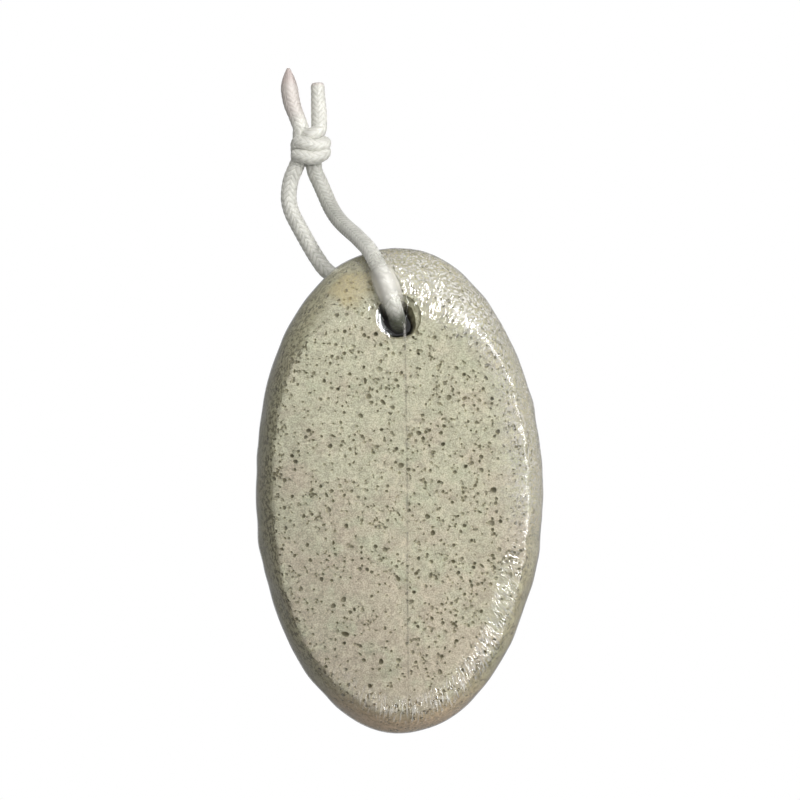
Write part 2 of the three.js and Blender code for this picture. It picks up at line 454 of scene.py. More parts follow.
@dataclass(frozen=True)
class FilmFinish:
    """Clear shrink film: thin, glossy and crinkled where it gathers.

    Attributes:
        gloss: The roughness of its shine.
        mirror: How much it mirrors face on, how much more edge on, and how suddenly that sets in.
        crinkle: The size of the crumpled facets.
        tilt: How far the facets lean.
        pleat: The width and the length of the pleats at the rim.
        depth: How deep the pleats look.
        duller: The size of the patches in which the facets shine less.
        ruffle: The size of the patches in which the pleats are shallow or deep.
        patchy: The size of the patches in the seam.
        sheen_grain: The size of the grain of the painted sheen.
        clear: The colour that the film lets through.
        milk_and_sheen: The colour of the haze, of the painted sheen and of the painted highlights on the
            pleats.
        weld: The colour of the seam.
    """

    gloss: float = 0.08
    mirror: tuple[float, float, float] = (0.075, 0.92, 4.5)
    crinkle: float = 0.30 * MM
    tilt: float = 0.48
    pleat: tuple[float, float] = (0.34 * MM, 2.2 * MM)
    depth: float = 0.75 * MM
    duller: float = 2.6 * MM
    ruffle: float = 1.1 * MM
    patchy: float = 1.6 * MM
    sheen_grain: float = 0.5 * MM
    clear: tuple = colour(0.97, 0.975, 0.97)
    milk_and_sheen: tuple = colour(0.725, 0.705, 0.65)
    weld: tuple = colour(0.15, 0.135, 0.07)

    def facets(
        self, sheet: NodeSheet, places: object, share: object, pleated: object
    ) -> tuple[object, object]:
        """Tilts the skin's direction from facet to facet, as in crumpled film.

        Args:
            sheet: The material's node tree.
            places: The unrolled places on the film.
            share: How crumpled the film is there.
            pleated: How pleated it is there.

        Returns:
            The tilted direction, and the colour of each facet's glint.
        """
        drawn = sheet.vectors("MULTIPLY", places, (1 / self.crinkle, 0.40 / self.crinkle, 0))
        cells, glint = (sheet.cells(drawn, scale).outputs["Color"] for scale in (1.0, 0.8))
        dim = sheet.ramp(sheet.add("ShaderNodeSeparateColor", {0: glint}).outputs[0], 0.2, 0.75, 0.06, 1.0)
        glint = sheet.blend(sheet.maths("MAXIMUM", share, pleated), colour(1, 1, 1), sheet.grey(dim))
        broken = sheet.ramp(sheet.noise(places, self.duller, 2.0), 0.38, 0.58, 0.4, 1.0)
        glint = sheet.blend(share, glint, sheet.shaded(glint, broken))
        lean = sheet.vectors("SUBTRACT", cells, (0.5, 0.5, 0.5))
        amount = sheet.maths("MULTIPLY", share, self.tilt)
        lean = sheet.add("ShaderNodeVectorMath", {0: lean, "Scale": amount}, operation="SCALE").outputs[0]
        straight = sheet.add("ShaderNodeNewGeometry").outputs["Normal"]
        return sheet.vectors("NORMALIZE", sheet.vectors("ADD", straight, lean)), glint

    def material(self) -> bpy.types.Material:
        """Makes the film's material.

        Returns:
            The material, ready to be put on a piece.
        """
        sheet = NodeSheet("clear_film")
        places = sheet.places()
        unrolled = sheet.attribute("unrolled", "Vector")
        drawn = sheet.vectors("MULTIPLY", unrolled, (1 / self.pleat[0], 1 / self.pleat[1], 0))
        # Pleats as a bump, on top of the crumpled facets.
        gathered = sheet.attribute("gather")
        pleated = sheet.attribute("pleat")
        strokes = sheet.cells(drawn).outputs["Distance"]
        uneven = sheet.ramp(sheet.noise(places, self.ruffle, 2.0), 0.35, 0.65, 0.04, 0.24)
        folds = sheet.maths("MULTIPLY", strokes, sheet.maths("MULTIPLY", pleated, uneven))
        facets, glint = self.facets(sheet, unrolled, gathered, pleated)
        inputs = {"Height": folds, "Distance": self.depth, "Normal": facets}
        bump = sheet.add("ShaderNodeBump", inputs).outputs[0]
        # The clear skin, which mirrors more at a glancing angle.
        facing = sheet.add("ShaderNodeLayerWeight", {"Blend": 0.5, "Normal": bump}).outputs["Facing"]
        least, more, sudden = self.mirror
        mirror = sheet.maths("MULTIPLY", sheet.maths("POWER", facing, sudden), more)
        mirror = sheet.maths("ADD", mirror, least)
        mirror = sheet.maths("MULTIPLY", mirror, sheet.ramp(sheet.attribute("calm"), 0, 1, 1.0, 0.15))
        rough = sheet.ramp(sheet.attribute("cling"), 0, 1, self.gloss, 0.33)
        shine = sheet.add("ShaderNodeBsdfGlossy", {"Color": glint, "Roughness": rough, "Normal": bump})
        clear = sheet.add("ShaderNodeBsdfTransparent", {"Color": self.clear})
        skin = sheet.add("ShaderNodeMixShader", {0: mirror, 1: clear.outputs[0], 2: shine.outputs[0]})
        # The seam, the haze, the painted sheen and the white strokes painted as highlights on the pleats,
        # which hide what is under them.
        seam = sheet.attribute("seam")
        haze = sheet.add("ShaderNodeBsdfDiffuse", {"Color": sheet.blend(seam, self.milk_and_sheen, self.weld)})
        patchy = sheet.ramp(sheet.noise(places, self.patchy, 2.0), 0.35, 0.65, 0.12, 0.62)
        seamed = sheet.maths("MULTIPLY", seam, patchy)
        # Painted sheen: a grainy whitish haze on the side towards the lamps.
        grainy = sheet.ramp(sheet.noise(places, self.sheen_grain, 4.0, 0.65), 0.41, 0.60, 0.05, 1.9)
        haze_and_painted_light = sheet.maths("MULTIPLY", sheet.attribute("painted_sheen"), grainy)
        # Painted highlights: thin white strokes along the pleats at the rim.
        inputs = {"Vector": drawn, "Scale": 1.0, "Detail": 1.5}
        pleat_highlights = sheet.add("ShaderNodeTexNoise", inputs, noise_dimensions="2D")
        pleat_highlights = sheet.maths("MULTIPLY", pleated, sheet.ramp(pleat_highlights.outputs[0], 0.49, 0.65, 0.0, 0.55))
        for other in (seamed, sheet.attribute("haze"), pleat_highlights):
            haze_and_painted_light = sheet.maths("MAXIMUM", haze_and_painted_light, other)
        whole = sheet.add("ShaderNodeMixShader", {0: haze_and_painted_light, 1: skin.outputs[0], 2: haze.outputs[0]})
        return sheet.finish(whole.outputs[0])


@dataclass(frozen=True)
class BraidFinish:
    """White braided cord: soft yarn ribs, melted together at a sealed tip.

    Attributes:
        white: The yarn's colour.
        groove_shade: The darker colour between the ribs, painted shade in the grooves.
        melt: The colour of a sealed tip.
        cord_shade_colour: The colour of the painted shade on the cord, deep in the hole and beside the stone.
        smudge: The size of the faintly darker smudges.
    """

    white: tuple = colour(0.60, 0.593, 0.545)
    groove_shade: tuple = colour(0.42, 0.415, 0.345)
    melt: tuple = colour(0.44, 0.375, 0.35)
    cord_shade_colour: tuple = colour(0.075, 0.080, 0.055)
    smudge: float = 1.6 * MM

    def material(self) -> bpy.types.Material:
        """Makes the braid's material.

        Returns:
            The material, ready to be put on a piece.
        """
        sheet = NodeSheet("white_braid")
        strands = sheet.noise(sheet.attribute("yarn", "Vector"), 1.0, 2.0)
        smudges = sheet.maths("MULTIPLY", sheet.noise(sheet.places(), self.smudge, 3.0), 0.8)
        melted = sheet.attribute("melt")
        # Painted shade: the yarn is darker between the ribs.
        tone = sheet.blend(sheet.ramp(sheet.attribute("relief"), 0.1, 0.92), self.groove_shade, self.white)
        tone = sheet.shaded(tone, sheet.ramp(sheet.maths("ADD", strands, smudges), 0.65, 1.15, 0.82, 1.10))
        tone = sheet.blend(melted, tone, self.melt)
        # Painted shade: the cord is darkened deep in the hole, and a little on the leg beside the stone.
        tone = sheet.blend(sheet.attribute("cord_shade"), tone, self.cord_shade_colour)
        bump = sheet.add("ShaderNodeBump", {"Height": strands, "Strength": 0.4, "Distance": 0.05 * MM})
        surface = sheet.add(
            "ShaderNodeBsdfPrincipled",
            {
                "Base Color": tone,
                "Roughness": sheet.ramp(melted, 0, 1, 0.62, 0.55),
                "Specular IOR Level": 0.2,
                "Sheen Weight": 0.3,
                "Sheen Roughness": 0.4,
                "Normal": bump.outputs[0],
            },
        )
        return sheet.finish(surface.outputs[0])


# ---- The cord ----


@dataclass(frozen=True)
class Braid:
    """The surface of a round braid: columns of slanting ribs, alternately one way and the other.

    Attributes:
        radius: The cord's radius, over the ribs.
        rib_pitch: The distance from rib to rib along the cord.
        rib_height: How far the ribs stand out of the grooves.
        columns: How many columns of ribs go round the cord.
        filament: The width of the yarn's filaments.
    """

    radius: float = 1.6 * MM
    rib_pitch: float = 1.15 * MM
    rib_height: float = 0.17 * MM
    columns: int = 8
    filament: float = 0.13 * MM

    def relief(self, along: np.ndarray, around: np.ndarray) -> tuple[np.ndarray, np.ndarray]:
        """Works out the ribs at points of the cord's surface.

        Args:
            along: Each point's distance along the cord.
            around: Each point's angle round the cord.

        Returns:
            How high each point stands, from 0 to 1, and where it lies across and along its yarn.
        """
        width = FULL_TURN / self.columns
        column = np.floor(around / width)
        beside = (around / width - column - 0.5) * 2
        lean = np.where(column % 2 == 0, -1.0, 1.0)
        offset = beside * self.radius * width / 2
        phase = (along + lean * offset) / self.rib_pitch
        across = 2 * (phase - np.floor(phase)) - 1
        height = np.sqrt(np.clip(1 - (0.96 * across) ** 2, 0, 1))
        height *= 1 - 0.3 * np.abs(beside) ** 14
        yarn = np.stack([phase * self.rib_pitch / self.filament, (along - lean * offset) / MM, column * 7], 1)
        return height, yarn


@dataclass(frozen=True)
class CordLine:
    """The whole cord as one line, from the cut end through knot, stone and knot to the sealed tip.

    Attributes:
        step: The distance between the line's points.
        knot_radius: The strands' radius inside the pulled-tight knot.
        ease: The length over which the cord narrows into the knot.
        swelling: How much thicker the cord is towards the sealed tip.
        tip_radius: The radius at the very end of the sealed tip.
        tip_length: The length over which the tip is drawn out.
        slimming: How much thinner the cord is towards the cut end.
        cut_round: How deep the cut end's edge is rounded, and over what length.
    """

    step: float = 0.13 * MM
    knot_radius: float = 1.38 * MM
    ease: float = 2.2 * MM
    swelling: float = 0.14 * MM
    tip_radius: float = 0.3 * MM
    tip_length: float = 4.6 * MM
    slimming: float = 0.22 * MM
    cut_round: tuple[float, float] = (0.35 * MM, 0.7 * MM)

    def knot_middle(self) -> np.ndarray:
        """Gives the middle of the knot, from its place in the frame."""
        low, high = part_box("cord_knot")
        return np.array((low + high) / 2)

    def marks(self) -> dict[str, tuple[int, int]]:
        """Counts out the stretches of the line.

        Returns:
            The numbers of the first and the last listed point of each stretch, by its name.
        """
        tail, wrap = len(CUT_TAIL), len(FIRST_WRAP)
        loop = len(LOWER_LEG) + len(IN_HOLE) + len(UPPER_LEG)
        first = tail + wrap
        last = first + loop - 1
        return {
            "cut_tail": (0, tail - 1),
            "first_wrap": (tail - 1, first),
            "loop": (first, last),
            "second_wrap": (last, last + len(SECOND_WRAP) + 1),
            "sealed_tail": (last + len(SECOND_WRAP) + 1, last + len(SECOND_WRAP) + len(SEALED_TAIL)),
        }

    def hand_points(self) -> np.ndarray:
        """Strings the listed points of all stretches together.

        Returns:
            The points from the cut end to the sealed tip, one a row.
        """
        middle = self.knot_middle()
        first = [middle + p for p in np.array(FIRST_WRAP)]
        second = [middle + p for p in np.array(SECOND_WRAP)]
        return np.array(
            [*CUT_TAIL[::-1], *first[::-1], *LOWER_LEG, *IN_HOLE, *UPPER_LEG, *second, *SEALED_TAIL]
        )

    def trace(self) -> dict[str, np.ndarray]:
        """Follows the line once.

        Returns:
            The line's places, distances, and the two directions across it at each place.
        """
        line = smooth_line(list(self.hand_points()), self.step)
        along = distances_along(line)
        ahead = np.gradient(line, axis=0)
        ahead /= np.linalg.norm(ahead, axis=1)[:, None]
        sideways = np.zeros_like(line)
        middle = int(np.argmin(((line - LOWER_LEG[4]) ** 2).sum(1)))
        for run in (range(middle, len(line)), range(middle, -1, -1)):
            upward = np.array([0.0, 0.0, 1.0])
            for i in run:
                upward = upward - ahead[i] * upward.dot(ahead[i])
                upward /= np.linalg.norm(upward)
                sideways[i] = upward
        return {"line": line, "along": along, "up": sideways, "left": np.cross(ahead, sideways)}

    def stretch(self, traced: dict[str, np.ndarray], name: str) -> slice:
        """Finds the part of the traced line that belongs to one stretch.

        Args:
            traced: What trace() gave.
            name: The stretch's name in marks().

        Returns:
            The slice of the traced arrays, with both ends in it.
        """
        hand = self.hand_points()
        ends = [int(np.argmin(((traced["line"] - hand[k]) ** 2).sum(1))) for k in self.marks()[name]]
        return slice(ends[0], ends[1] + 1)


@dataclass
class CordPart:
    """One stretch of the cord as a closed tube with braided ribs.

    Attributes:
        name: The piece's name.
        node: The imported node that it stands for.
        stretches: The stretches of the line that it is made of.
        around: How many corners its section has.
    """

    name: str
    node: str
    stretches: tuple[str, ...]
    around: int = 96

    def tube(
        self, cord: CordLine, braid: Braid, traced: dict[str, np.ndarray], span: slice
    ) -> dict[str, np.ndarray | list]:
        """Builds the mesh data of one stretch.

        Args:
            cord: The line's own sizes.
            braid: The ribs.
            traced: What CordLine.trace() gave.
            span: The stretch's slice of it.

        Returns:
            Places, faces, relief, melt, painted shade and yarn of the stretch.
        """
        line, along = traced["line"][span], traced["along"][span]
        rings, corners = len(line), self.around
        turn = np.tile(np.arange(corners) / corners * FULL_TURN, rings)
        far = np.repeat(along, corners)
        height, yarn = braid.relief(far, turn)
        melt = self.melting(traced, far)
        radius = self.radius(cord, braid, traced, far)
        radius = radius - braid.rib_height * (1 - height) * (1 - melt) * (radius / braid.radius)
        up, left = (np.repeat(traced[k][span], corners, axis=0) for k in ("up", "left"))
        spokes = up * np.cos(turn)[:, None] + left * np.sin(turn)[:, None]
        places = np.repeat(line, corners, axis=0) + spokes * radius[:, None]
        index = np.arange(rings * corners).reshape(rings, corners)
        here, there = index[:-1], index[1:]
        beside = np.roll(index, -1, axis=1)
        faces = np.stack([here, beside[:-1], beside[1:], there], axis=-1).reshape(-1, 4).tolist()
        ends = len(places) + np.arange(2)
        places = np.vstack([places, line[0], line[-1]])
        for hub, ring, flip in ((ends[0], index[0], True), (ends[1], index[-1], False)):
            for k in range(corners):
                pair = [int(ring[k]), int(ring[(k + 1) % corners])]
                faces.append([int(hub), *(pair[::-1] if flip else pair)])
        last = traced["along"][-1]
        tint = np.maximum(melt, 0.6 * smooth_step(far, last - 13 * MM, last - 8 * MM))
        return {
            "places": places,
            "faces": faces,
            "relief": np.concatenate([height, [0.3, 0.3]]),
            "melt": np.concatenate([tint, tint[[0, -1]]]),
            "cord_shade": self.cord_shade(places),
            "yarn": np.concatenate([yarn, yarn[[0, -1]]]),
        }

    def cord_shade(self, places: np.ndarray) -> np.ndarray:
        """Gives how much painted shade darkens the cord: most deep in the hole, and a little on the leg
        beside the stone.

        Args:
            places: Places on the cord, one a row.

        Returns:
            One share a place, from 0 to 1.
        """
        height, along = places[:, 2], places[:, 1]
        # Painted shade: full deep in the hole, and a little on the leg beside the stone.
        inside = smooth_step(along, 36.4 * MM, 33.6 * MM) * smooth_step(height, 30.8 * MM, 28.0 * MM)
        leg_shade = window(along, 50 * MM, 56 * MM, 63 * MM, 68 * MM)
        return np.maximum(inside, 0.30 * leg_shade * smooth_step(places[:, 0], -18 * MM, -14 * MM))

    def melting(self, traced: dict[str, np.ndarray], far: np.ndarray) -> np.ndarray:
        """Gives how melted the cord is: wholly at the sealed tip, and partly at the cut end.

        Args:
            traced: What CordLine.trace() gave.
            far: The distances along the line at which it is wanted.

        Returns:
            One share a distance, from 0 to 1.
        """
        last = traced["along"][-1]
        cut = 0.6 * smooth_step(far, 1.0 * MM, 0.2 * MM)
        return np.maximum(smooth_step(far, last - 6.5 * MM, last - 2.0 * MM), cut)

    def radius(
        self, cord: CordLine, braid: Braid, traced: dict[str, np.ndarray], far: np.ndarray
    ) -> np.ndarray:
        """Gives the cord's radius: full on the legs, squeezed in the knot, drawn out at the tip.

        Args:
            cord: The line's own sizes.
            braid: The ribs.
            traced: What CordLine.trace() gave.
            far: The distances along the line at which it is wanted.

        Returns:
            One radius a distance.
        """
        radius = np.full(len(far), braid.radius)
        for name in ("first_wrap", "second_wrap"):
            span = cord.stretch(traced, name)
            start, end = traced["along"][span.start], traced["along"][span.stop - 1]
            squeeze = window(far, start, start + cord.ease, end - cord.ease, end)
            radius -= (braid.radius - cord.knot_radius) * squeeze
        last = traced["along"][-1]
        radius += cord.swelling * smooth_step(far, last - 10 * MM, last - 6 * MM)
        deep, long = cord.cut_round
        radius -= cord.slimming * smooth_step(far, 7 * MM, 1 * MM)
        radius -= deep * np.clip(1 - far / long, 0, 1) ** 2
        drawn = np.clip((far - (last - cord.tip_length)) / cord.tip_length, 0, 1)
        return radius - (radius - cord.tip_radius) * drawn**1.7

    def build(self, cord: CordLine, braid: Braid, traced: dict[str, np.ndarray]) -> bpy.types.Object:
        """Builds the piece.

        Args:
            cord: The line's own sizes.
            braid: The ribs.
            traced: What CordLine.trace() gave.

        Returns:
            The braided piece, which has no finish yet.
        """
        parts = [self.tube(cord, braid, traced, cord.stretch(traced, s)) for s in self.stretches]
        offset, faces = 0, []
        for part in parts:
            faces += [[v + offset for v in face] for face in part["faces"]]
            offset += len(part["places"])
        piece = piece_from(self.name, np.vstack([p["places"] for p in parts]), faces)
        for key in ("relief", "melt", "cord_shade", "yarn"):
            write_attribute(piece, key, np.concatenate([p[key] for p in parts]))
        return piece

    def dress(self, piece: bpy.types.Object, finish: bpy.types.Material) -> None:
        """Gives the piece its finish and ties it to the frame.

        Args:
            piece: What build() gave.
            finish: The braid's material.
        """
        piece.data.materials.append(finish)
        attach(piece, ROOT)
        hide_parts(self.node)


@dataclass
class Cord:
    """The whole cord: the loop through the stone, the knot and its two tails.

    Attributes:
        line: The cord's line.
        braid: The cord's surface.
        finish: The cord's material.
        exit: Where the lower leg leaves the film. It is not used.
    """

    line: CordLine = CordLine()
    braid: Braid = Braid()
    finish: BraidFinish = BraidFinish()
    exit: tuple[float, float, float] = LOWER_LEG[10]

    def build(self) -> list[bpy.types.Object]:
        """Returns:
            The loop, the knot and the two tails.
        """
        traced = self.line.trace()
        material = self.finish.material()
        parts = [
            CordPart("braided_loop", "cord_loop", ("loop",)),
            CordPart("tied_knot", "cord_knot", ("first_wrap", "second_wrap")),
            CordPart("sealed_tail", "cord_tail_sealed", ("sealed_tail",)),
            CordPart("cut_tail", "cord_tail_cut", ("cut_tail",)),
        ]
        pieces = []
        for part in parts:
            piece = part.build(self.line, self.braid, traced)
            part.dress(piece, material)
            pieces.append(piece)
        loop = traced["line"][self.line.stretch(traced, "loop")]
        return pieces


# ---- The stone's form ----


@dataclass(frozen=True)
class Pebble:
    """The worn oval form that stone and film share.

    A face is laid out flat: a point of it has a heading from the face's middle and a distance along the
    skin, out over the rounded edge to the middle of the side.

    Attributes:
        half_width: Half the stone's width.
        half_length: Half its length.
        half_thickness: Half its thickness.
        side_edge: How far in the rounding of the long sides begins.
        foot_edge: How far in the rounding of the foot begins.
        head_edge: How far in the rounding of the head begins.
        pitch: How far the stone leans back off the cord, in radians.
        roll: How far it leans sideways, in radians.
        centre: Where its middle lies.
        swell: How the whole skin swells.
        knocks: How the sides are worn uneven.
    """

    half_width: float = 27.75 * MM
    half_length: float = 47.1 * MM
    half_thickness: float = 12 * MM
    side_edge: float = 3.6 * MM
    foot_edge: float = 5.7 * MM
    head_edge: float = 17 * MM
    pitch: float = math.radians(2.2)
    roll: float = math.radians(1.4)
    centre: tuple[float, float, float] = (-0.15 * MM, 0.22 * MM, 14.1 * MM)
    swell: WaveField = WaveField(13 * MM, 0.07 * MM, 14, 11)
    knocks: WaveField = WaveField(9 * MM, 0.07 * MM, 14, 17)

    def rim(self, heading: np.ndarray) -> tuple[np.ndarray, np.ndarray]:
        """Gives the worn oval outline.

        Args:
            heading: Directions from the middle, in plan.

        Returns:
            The outline's reach, and the width of the rounded edge, for each heading.
        """
        turn = np.arctan2(np.sin(heading) / self.half_length, np.cos(heading) / self.half_width)
        worn = 1 + 0.004 * np.sin(3 * turn + 0.6) + 0.003 * np.sin(5 * turn + 2.1)
        reach = worn * np.hypot(self.half_width * np.cos(turn), self.half_length * np.sin(turn))
        head = np.clip(np.sin(turn), 0, 1) ** 6
        foot = np.clip(-np.sin(turn), 0, 1) ** 4
        edge = self.side_edge + head * (self.head_edge - self.side_edge)
        uneven = 0.11 * MM * (np.sin(19 * turn + 0.4) + np.sin(31 * turn + 1.7) + np.sin(47 * turn))
        return reach, edge + foot * (self.foot_edge - self.side_edge) + uneven * (1 - head)

    def crispness(self, edge: np.ndarray) -> np.ndarray:
        """Gives how sharply the face turns into the edge: more at a narrow edge than at the broad head."""
        return 1 + 0.65 * np.clip((14 * MM - edge) / (9 * MM), 0, 1)

    def edge_arcs(self, edge: np.ndarray) -> tuple[np.ndarray, np.ndarray]:
        """Measures the rounded edge from the face down to the middle of the side.

        Args:
            edge: The edge's width at each point.

        Returns:
            The bend angles of 49 stations, and each point's arc length at each station.
        """
        bend = np.linspace(0, math.pi / 2, 49)
        crisp = self.crispness(edge)[:, None]
        inward = edge[:, None] * crisp * np.sin(bend) ** (crisp - 1) * np.cos(bend)
        speed = np.hypot(inward, self.half_thickness * np.sin(bend))
        steps = (speed[:, 1:] + speed[:, :-1]) / 2 * (bend[1] - bend[0])
        return bend, np.concatenate([np.zeros((len(edge), 1)), np.cumsum(steps, axis=1)], axis=1)

    def reach(self, heading: np.ndarray) -> np.ndarray:
        """Gives the distance along the skin from a face's middle to the middle of the side."""
        rim, edge = self.rim(heading)
        return rim - edge + self.edge_arcs(edge)[1][:, -1]

    def folded(self, side: Side, flat: np.ndarray) -> np.ndarray:
        """Folds laid-out points back onto the stone, in the stone's own frame.

        Args:
            side: The face that they belong to.
            flat: Laid-out points, two numbers a row.

        Returns:
            Points in space, three numbers a row.
        """
        heading = np.arctan2(flat[:, 1], flat[:, 0])
        distance = np.hypot(flat[:, 0], flat[:, 1])
        rim, edge = self.rim(heading)
        past = distance - (rim - edge)
        bend, arcs = self.edge_arcs(edge)
        past = np.clip(past, 0, arcs[:, -1])
        step = np.clip((arcs <= past[:, None]).sum(1) - 1, 0, len(bend) - 2)
        row = np.arange(len(flat))
        low, high = arcs[row, step], arcs[row, step + 1]
        angle = bend[step] + (past - low) / np.maximum(high - low, 1e-12) * (bend[1] - bend[0])
        out = np.minimum(distance, rim - edge) + edge * np.sin(angle) ** self.crispness(edge)
        height = side.value * self.half_thickness * np.cos(angle)
        return np.column_stack([directions(heading) * out[:, None], height])

    def laid_out(self, plan: np.ndarray) -> np.ndarray:
        """Lays out points that are given by where they lie in plan.

        Args:
            plan: Points in plan, two numbers a row.

        Returns:
            The same points on the laid-out face.
        """
        heading = np.arctan2(plan[:, 1], plan[:, 0])
        out = np.hypot(plan[:, 0], plan[:, 1])
        rim, edge = self.rim(heading)
        bend, arcs = self.edge_arcs(edge)
        angle = np.arcsin(np.clip((out - (rim - edge)) / edge, 0, 1) ** (1 / self.crispness(edge)))
        past = np.array([np.interp(a, bend, row) for a, row in zip(angle, arcs)])
        distance = np.minimum(out, rim - edge) + past
        return directions(heading) * distance[:, None]

    def skin(self, side: Side, flat: np.ndarray) -> tuple[np.ndarray, np.ndarray]:
        """Gives places and outward directions of laid-out points, with the skin's faint swell.

        Args:
            side: The face that they belong to.
            flat: Laid-out points, two numbers a row.

        Returns:
            Places and unit normals in the stone's own frame.
        """
        small = 0.05 * MM
        inner = flat * (1 - 2 * small / np.maximum(np.hypot(*flat.T), 3 * small))[:, None]
        turned = np.stack([-inner[:, 1], inner[:, 0]], axis=1)
        turned *= (small / np.maximum(np.hypot(*turned.T), small))[:, None]
        outer = inner * (1 + small / np.maximum(np.hypot(*inner.T), small))[:, None]
        base = self.folded(side, inner)
        normal = np.cross(self.folded(side, outer) - base, self.folded(side, inner + turned) - base)
        normal *= side.value / np.maximum(np.linalg.norm(normal, axis=1), 1e-15)[:, None]
        places = self.folded(side, flat)
        side_on = smooth_step(np.abs(places[:, 2]), self.half_thickness, self.half_thickness * 0.8)
        uneven = self.swell.at(places) + self.knocks.at(places) * side_on
        return places + normal * uneven[:, None], normal

    def rest(self) -> Matrix:
        """Gives the move from the stone's own frame to where it lies."""
        turn = Matrix.Rotation(self.pitch, 4, "X") @ Matrix.Rotation(self.roll, 4, "Y")
        return Matrix.Translation(Vector(self.centre)) @ turn

    def lay(self, places: np.ndarray) -> np.ndarray:
        """Moves points of the stone's own frame to where the stone lies."""
        move = np.array(self.rest())
        return places @ move[:3, :3].T + move[:3, 3]

    def unlay(self, places: np.ndarray) -> np.ndarray:
        """Moves points from where the stone lies to its own frame."""
        move = np.array(self.rest().inverted())
        return places @ move[:3, :3].T + move[:3, 3]

    def equator(self, spacing: float) -> np.ndarray:
        """Follows the middle of the side once round.

        Args:
            spacing: The wished distance from point to point.

        Returns:
            Evenly spaced laid-out points, two numbers a row.
        """
        fine = np.linspace(0, FULL_TURN, 4001)
        along = distances_along(directions(fine) * self.rim(fine)[0][:, None])
        count = round(along[-1] / spacing)
        heading = np.interp(np.arange(count) / count * along[-1], along, fine)
        return directions(heading) * self.reach(heading)[:, None]


@dataclass(frozen=True)
class Bore:
    """The hole near the head.

    Attributes:
        middle: Where its axis crosses the stone, in plan.
        waist: Its radius inside.
        mouth: Its radius at the rounded rims.
        flare: How deep the rounding of the rims goes.
        narrow: How far its wall comes in on one side, halfway down.
        narrowed: The heading of that side.
    """

    middle: tuple[float, float] = (0.3 * MM, 33.7 * MM)
    waist: float = 4.05 * MM
    mouth: float = 4.3 * MM
    flare: float = 0.8 * MM
    narrow: float = 2.1 * MM
    narrowed: float = math.radians(48)

    def circle(self, radius: float, count: int) -> np.ndarray:
        """Gives points of a circle round the axis, in plan."""
        return directions(np.arange(count) / count * FULL_TURN) * radius + np.array(self.middle)

    def share(self, places: np.ndarray) -> np.ndarray:
        """Gives how far places lie from the axis in plan, with the mouth's radius as 1."""
        return np.hypot(*(places[:, :2] - self.middle).T) / self.mouth


def triangulated(points: np.ndarray, loops: list[np.ndarray]) -> tuple[np.ndarray, np.ndarray, list]:
    """Spans closed loops and loose points with triangles.

    Args:
        points: Loose points inside the first loop, and outside the others.
        loops: Closed loops, of which the first is the outer one and the others bound openings.

    Returns:
        The points used, the triangles, and the number that each loop's points have among them.
    """
    stacked = np.vstack([*loops, points]) / MM
    edges, starts = [], np.cumsum([0, *(len(loop) for loop in loops)])
    for start, loop in zip(starts, loops):
        edges += [(int(start) + k, int(start) + (k + 1) % len(loop)) for k in range(len(loop))]
    spots, _, triangles, origins, _, _ = delaunay_2d_cdt([Vector(p) for p in stacked], edges, [], 1, 1e-6)
    place_of = {old: new for new, group in enumerate(origins) for old in group}
    numbers = [np.array([place_of[s + k] for k in range(len(loop))]) for s, loop in zip(starts, loops)]
    corners = np.array(triangles)
    for opening in numbers[1:]:
        corners = corners[~np.isin(corners, opening).all(axis=1)]
    return np.array([(p.x, p.y) for p in spots]) * MM, corners, numbers


def thinned(points: np.ndarray, cell: float) -> np.ndarray:
    """Keeps the first of the points that fall in each cell of a grid."""
    _, first = np.unique(np.round(points / cell).astype(np.int64), axis=0, return_index=True)
    return points[np.sort(first)]


def joined(front: dict, back: dict) -> tuple[np.ndarray, np.ndarray, np.ndarray, list]:
    """Joins the sheets over both faces at the middle of the side.

    Args:
        front: The front sheet's places, triangles and equator.
        back: The back sheet's.

    Returns:
        All places, the number of each of the back's points among them, which of the back's points are
        its own, and the faces.
    """
    shared = np.full(len(back["places"]), -1)
    shared[back["equator"]] = front["equator"]
    fresh = shared < 0
    shared[fresh] = len(front["places"]) + np.arange(fresh.sum())
    places = np.vstack([front["places"], back["places"][fresh]])
    return places, shared, fresh, [*front["triangles"].tolist(), *shared[back["triangles"]].tolist()]


def scattered(pebble: Pebble, spacing: float, seed: int) -> np.ndarray:
    """Lays a jittered triangular grid over a laid-out face.

    Args:
        pebble: The form.
        spacing: The distance from point to point.
        seed: The seed of the jitter.

    Returns:
        Laid-out points, two numbers a row.
    """
    rng = np.random.default_rng(seed)
    across, along = np.meshgrid(
        np.arange(-45 * MM, 45 * MM, spacing), np.arange(-62 * MM, 62 * MM, spacing * 0.866)
    )
    across = across + (np.arange(len(across)) % 2)[:, None] * spacing / 2
    points = np.stack([across.ravel(), along.ravel()], axis=1)
    points += rng.uniform(-0.3, 0.3, points.shape) * spacing
    return within(pebble, points, spacing * 0.4)


def within(pebble: Pebble, points: np.ndarray, gap: float) -> np.ndarray:
    """Keeps the laid-out points that are more than gap inside the middle of the side."""
    return points[np.hypot(*points.T) < pebble.reach(np.arctan2(points[:, 1], points[:, 0])) - gap]


# ---- The stone ----


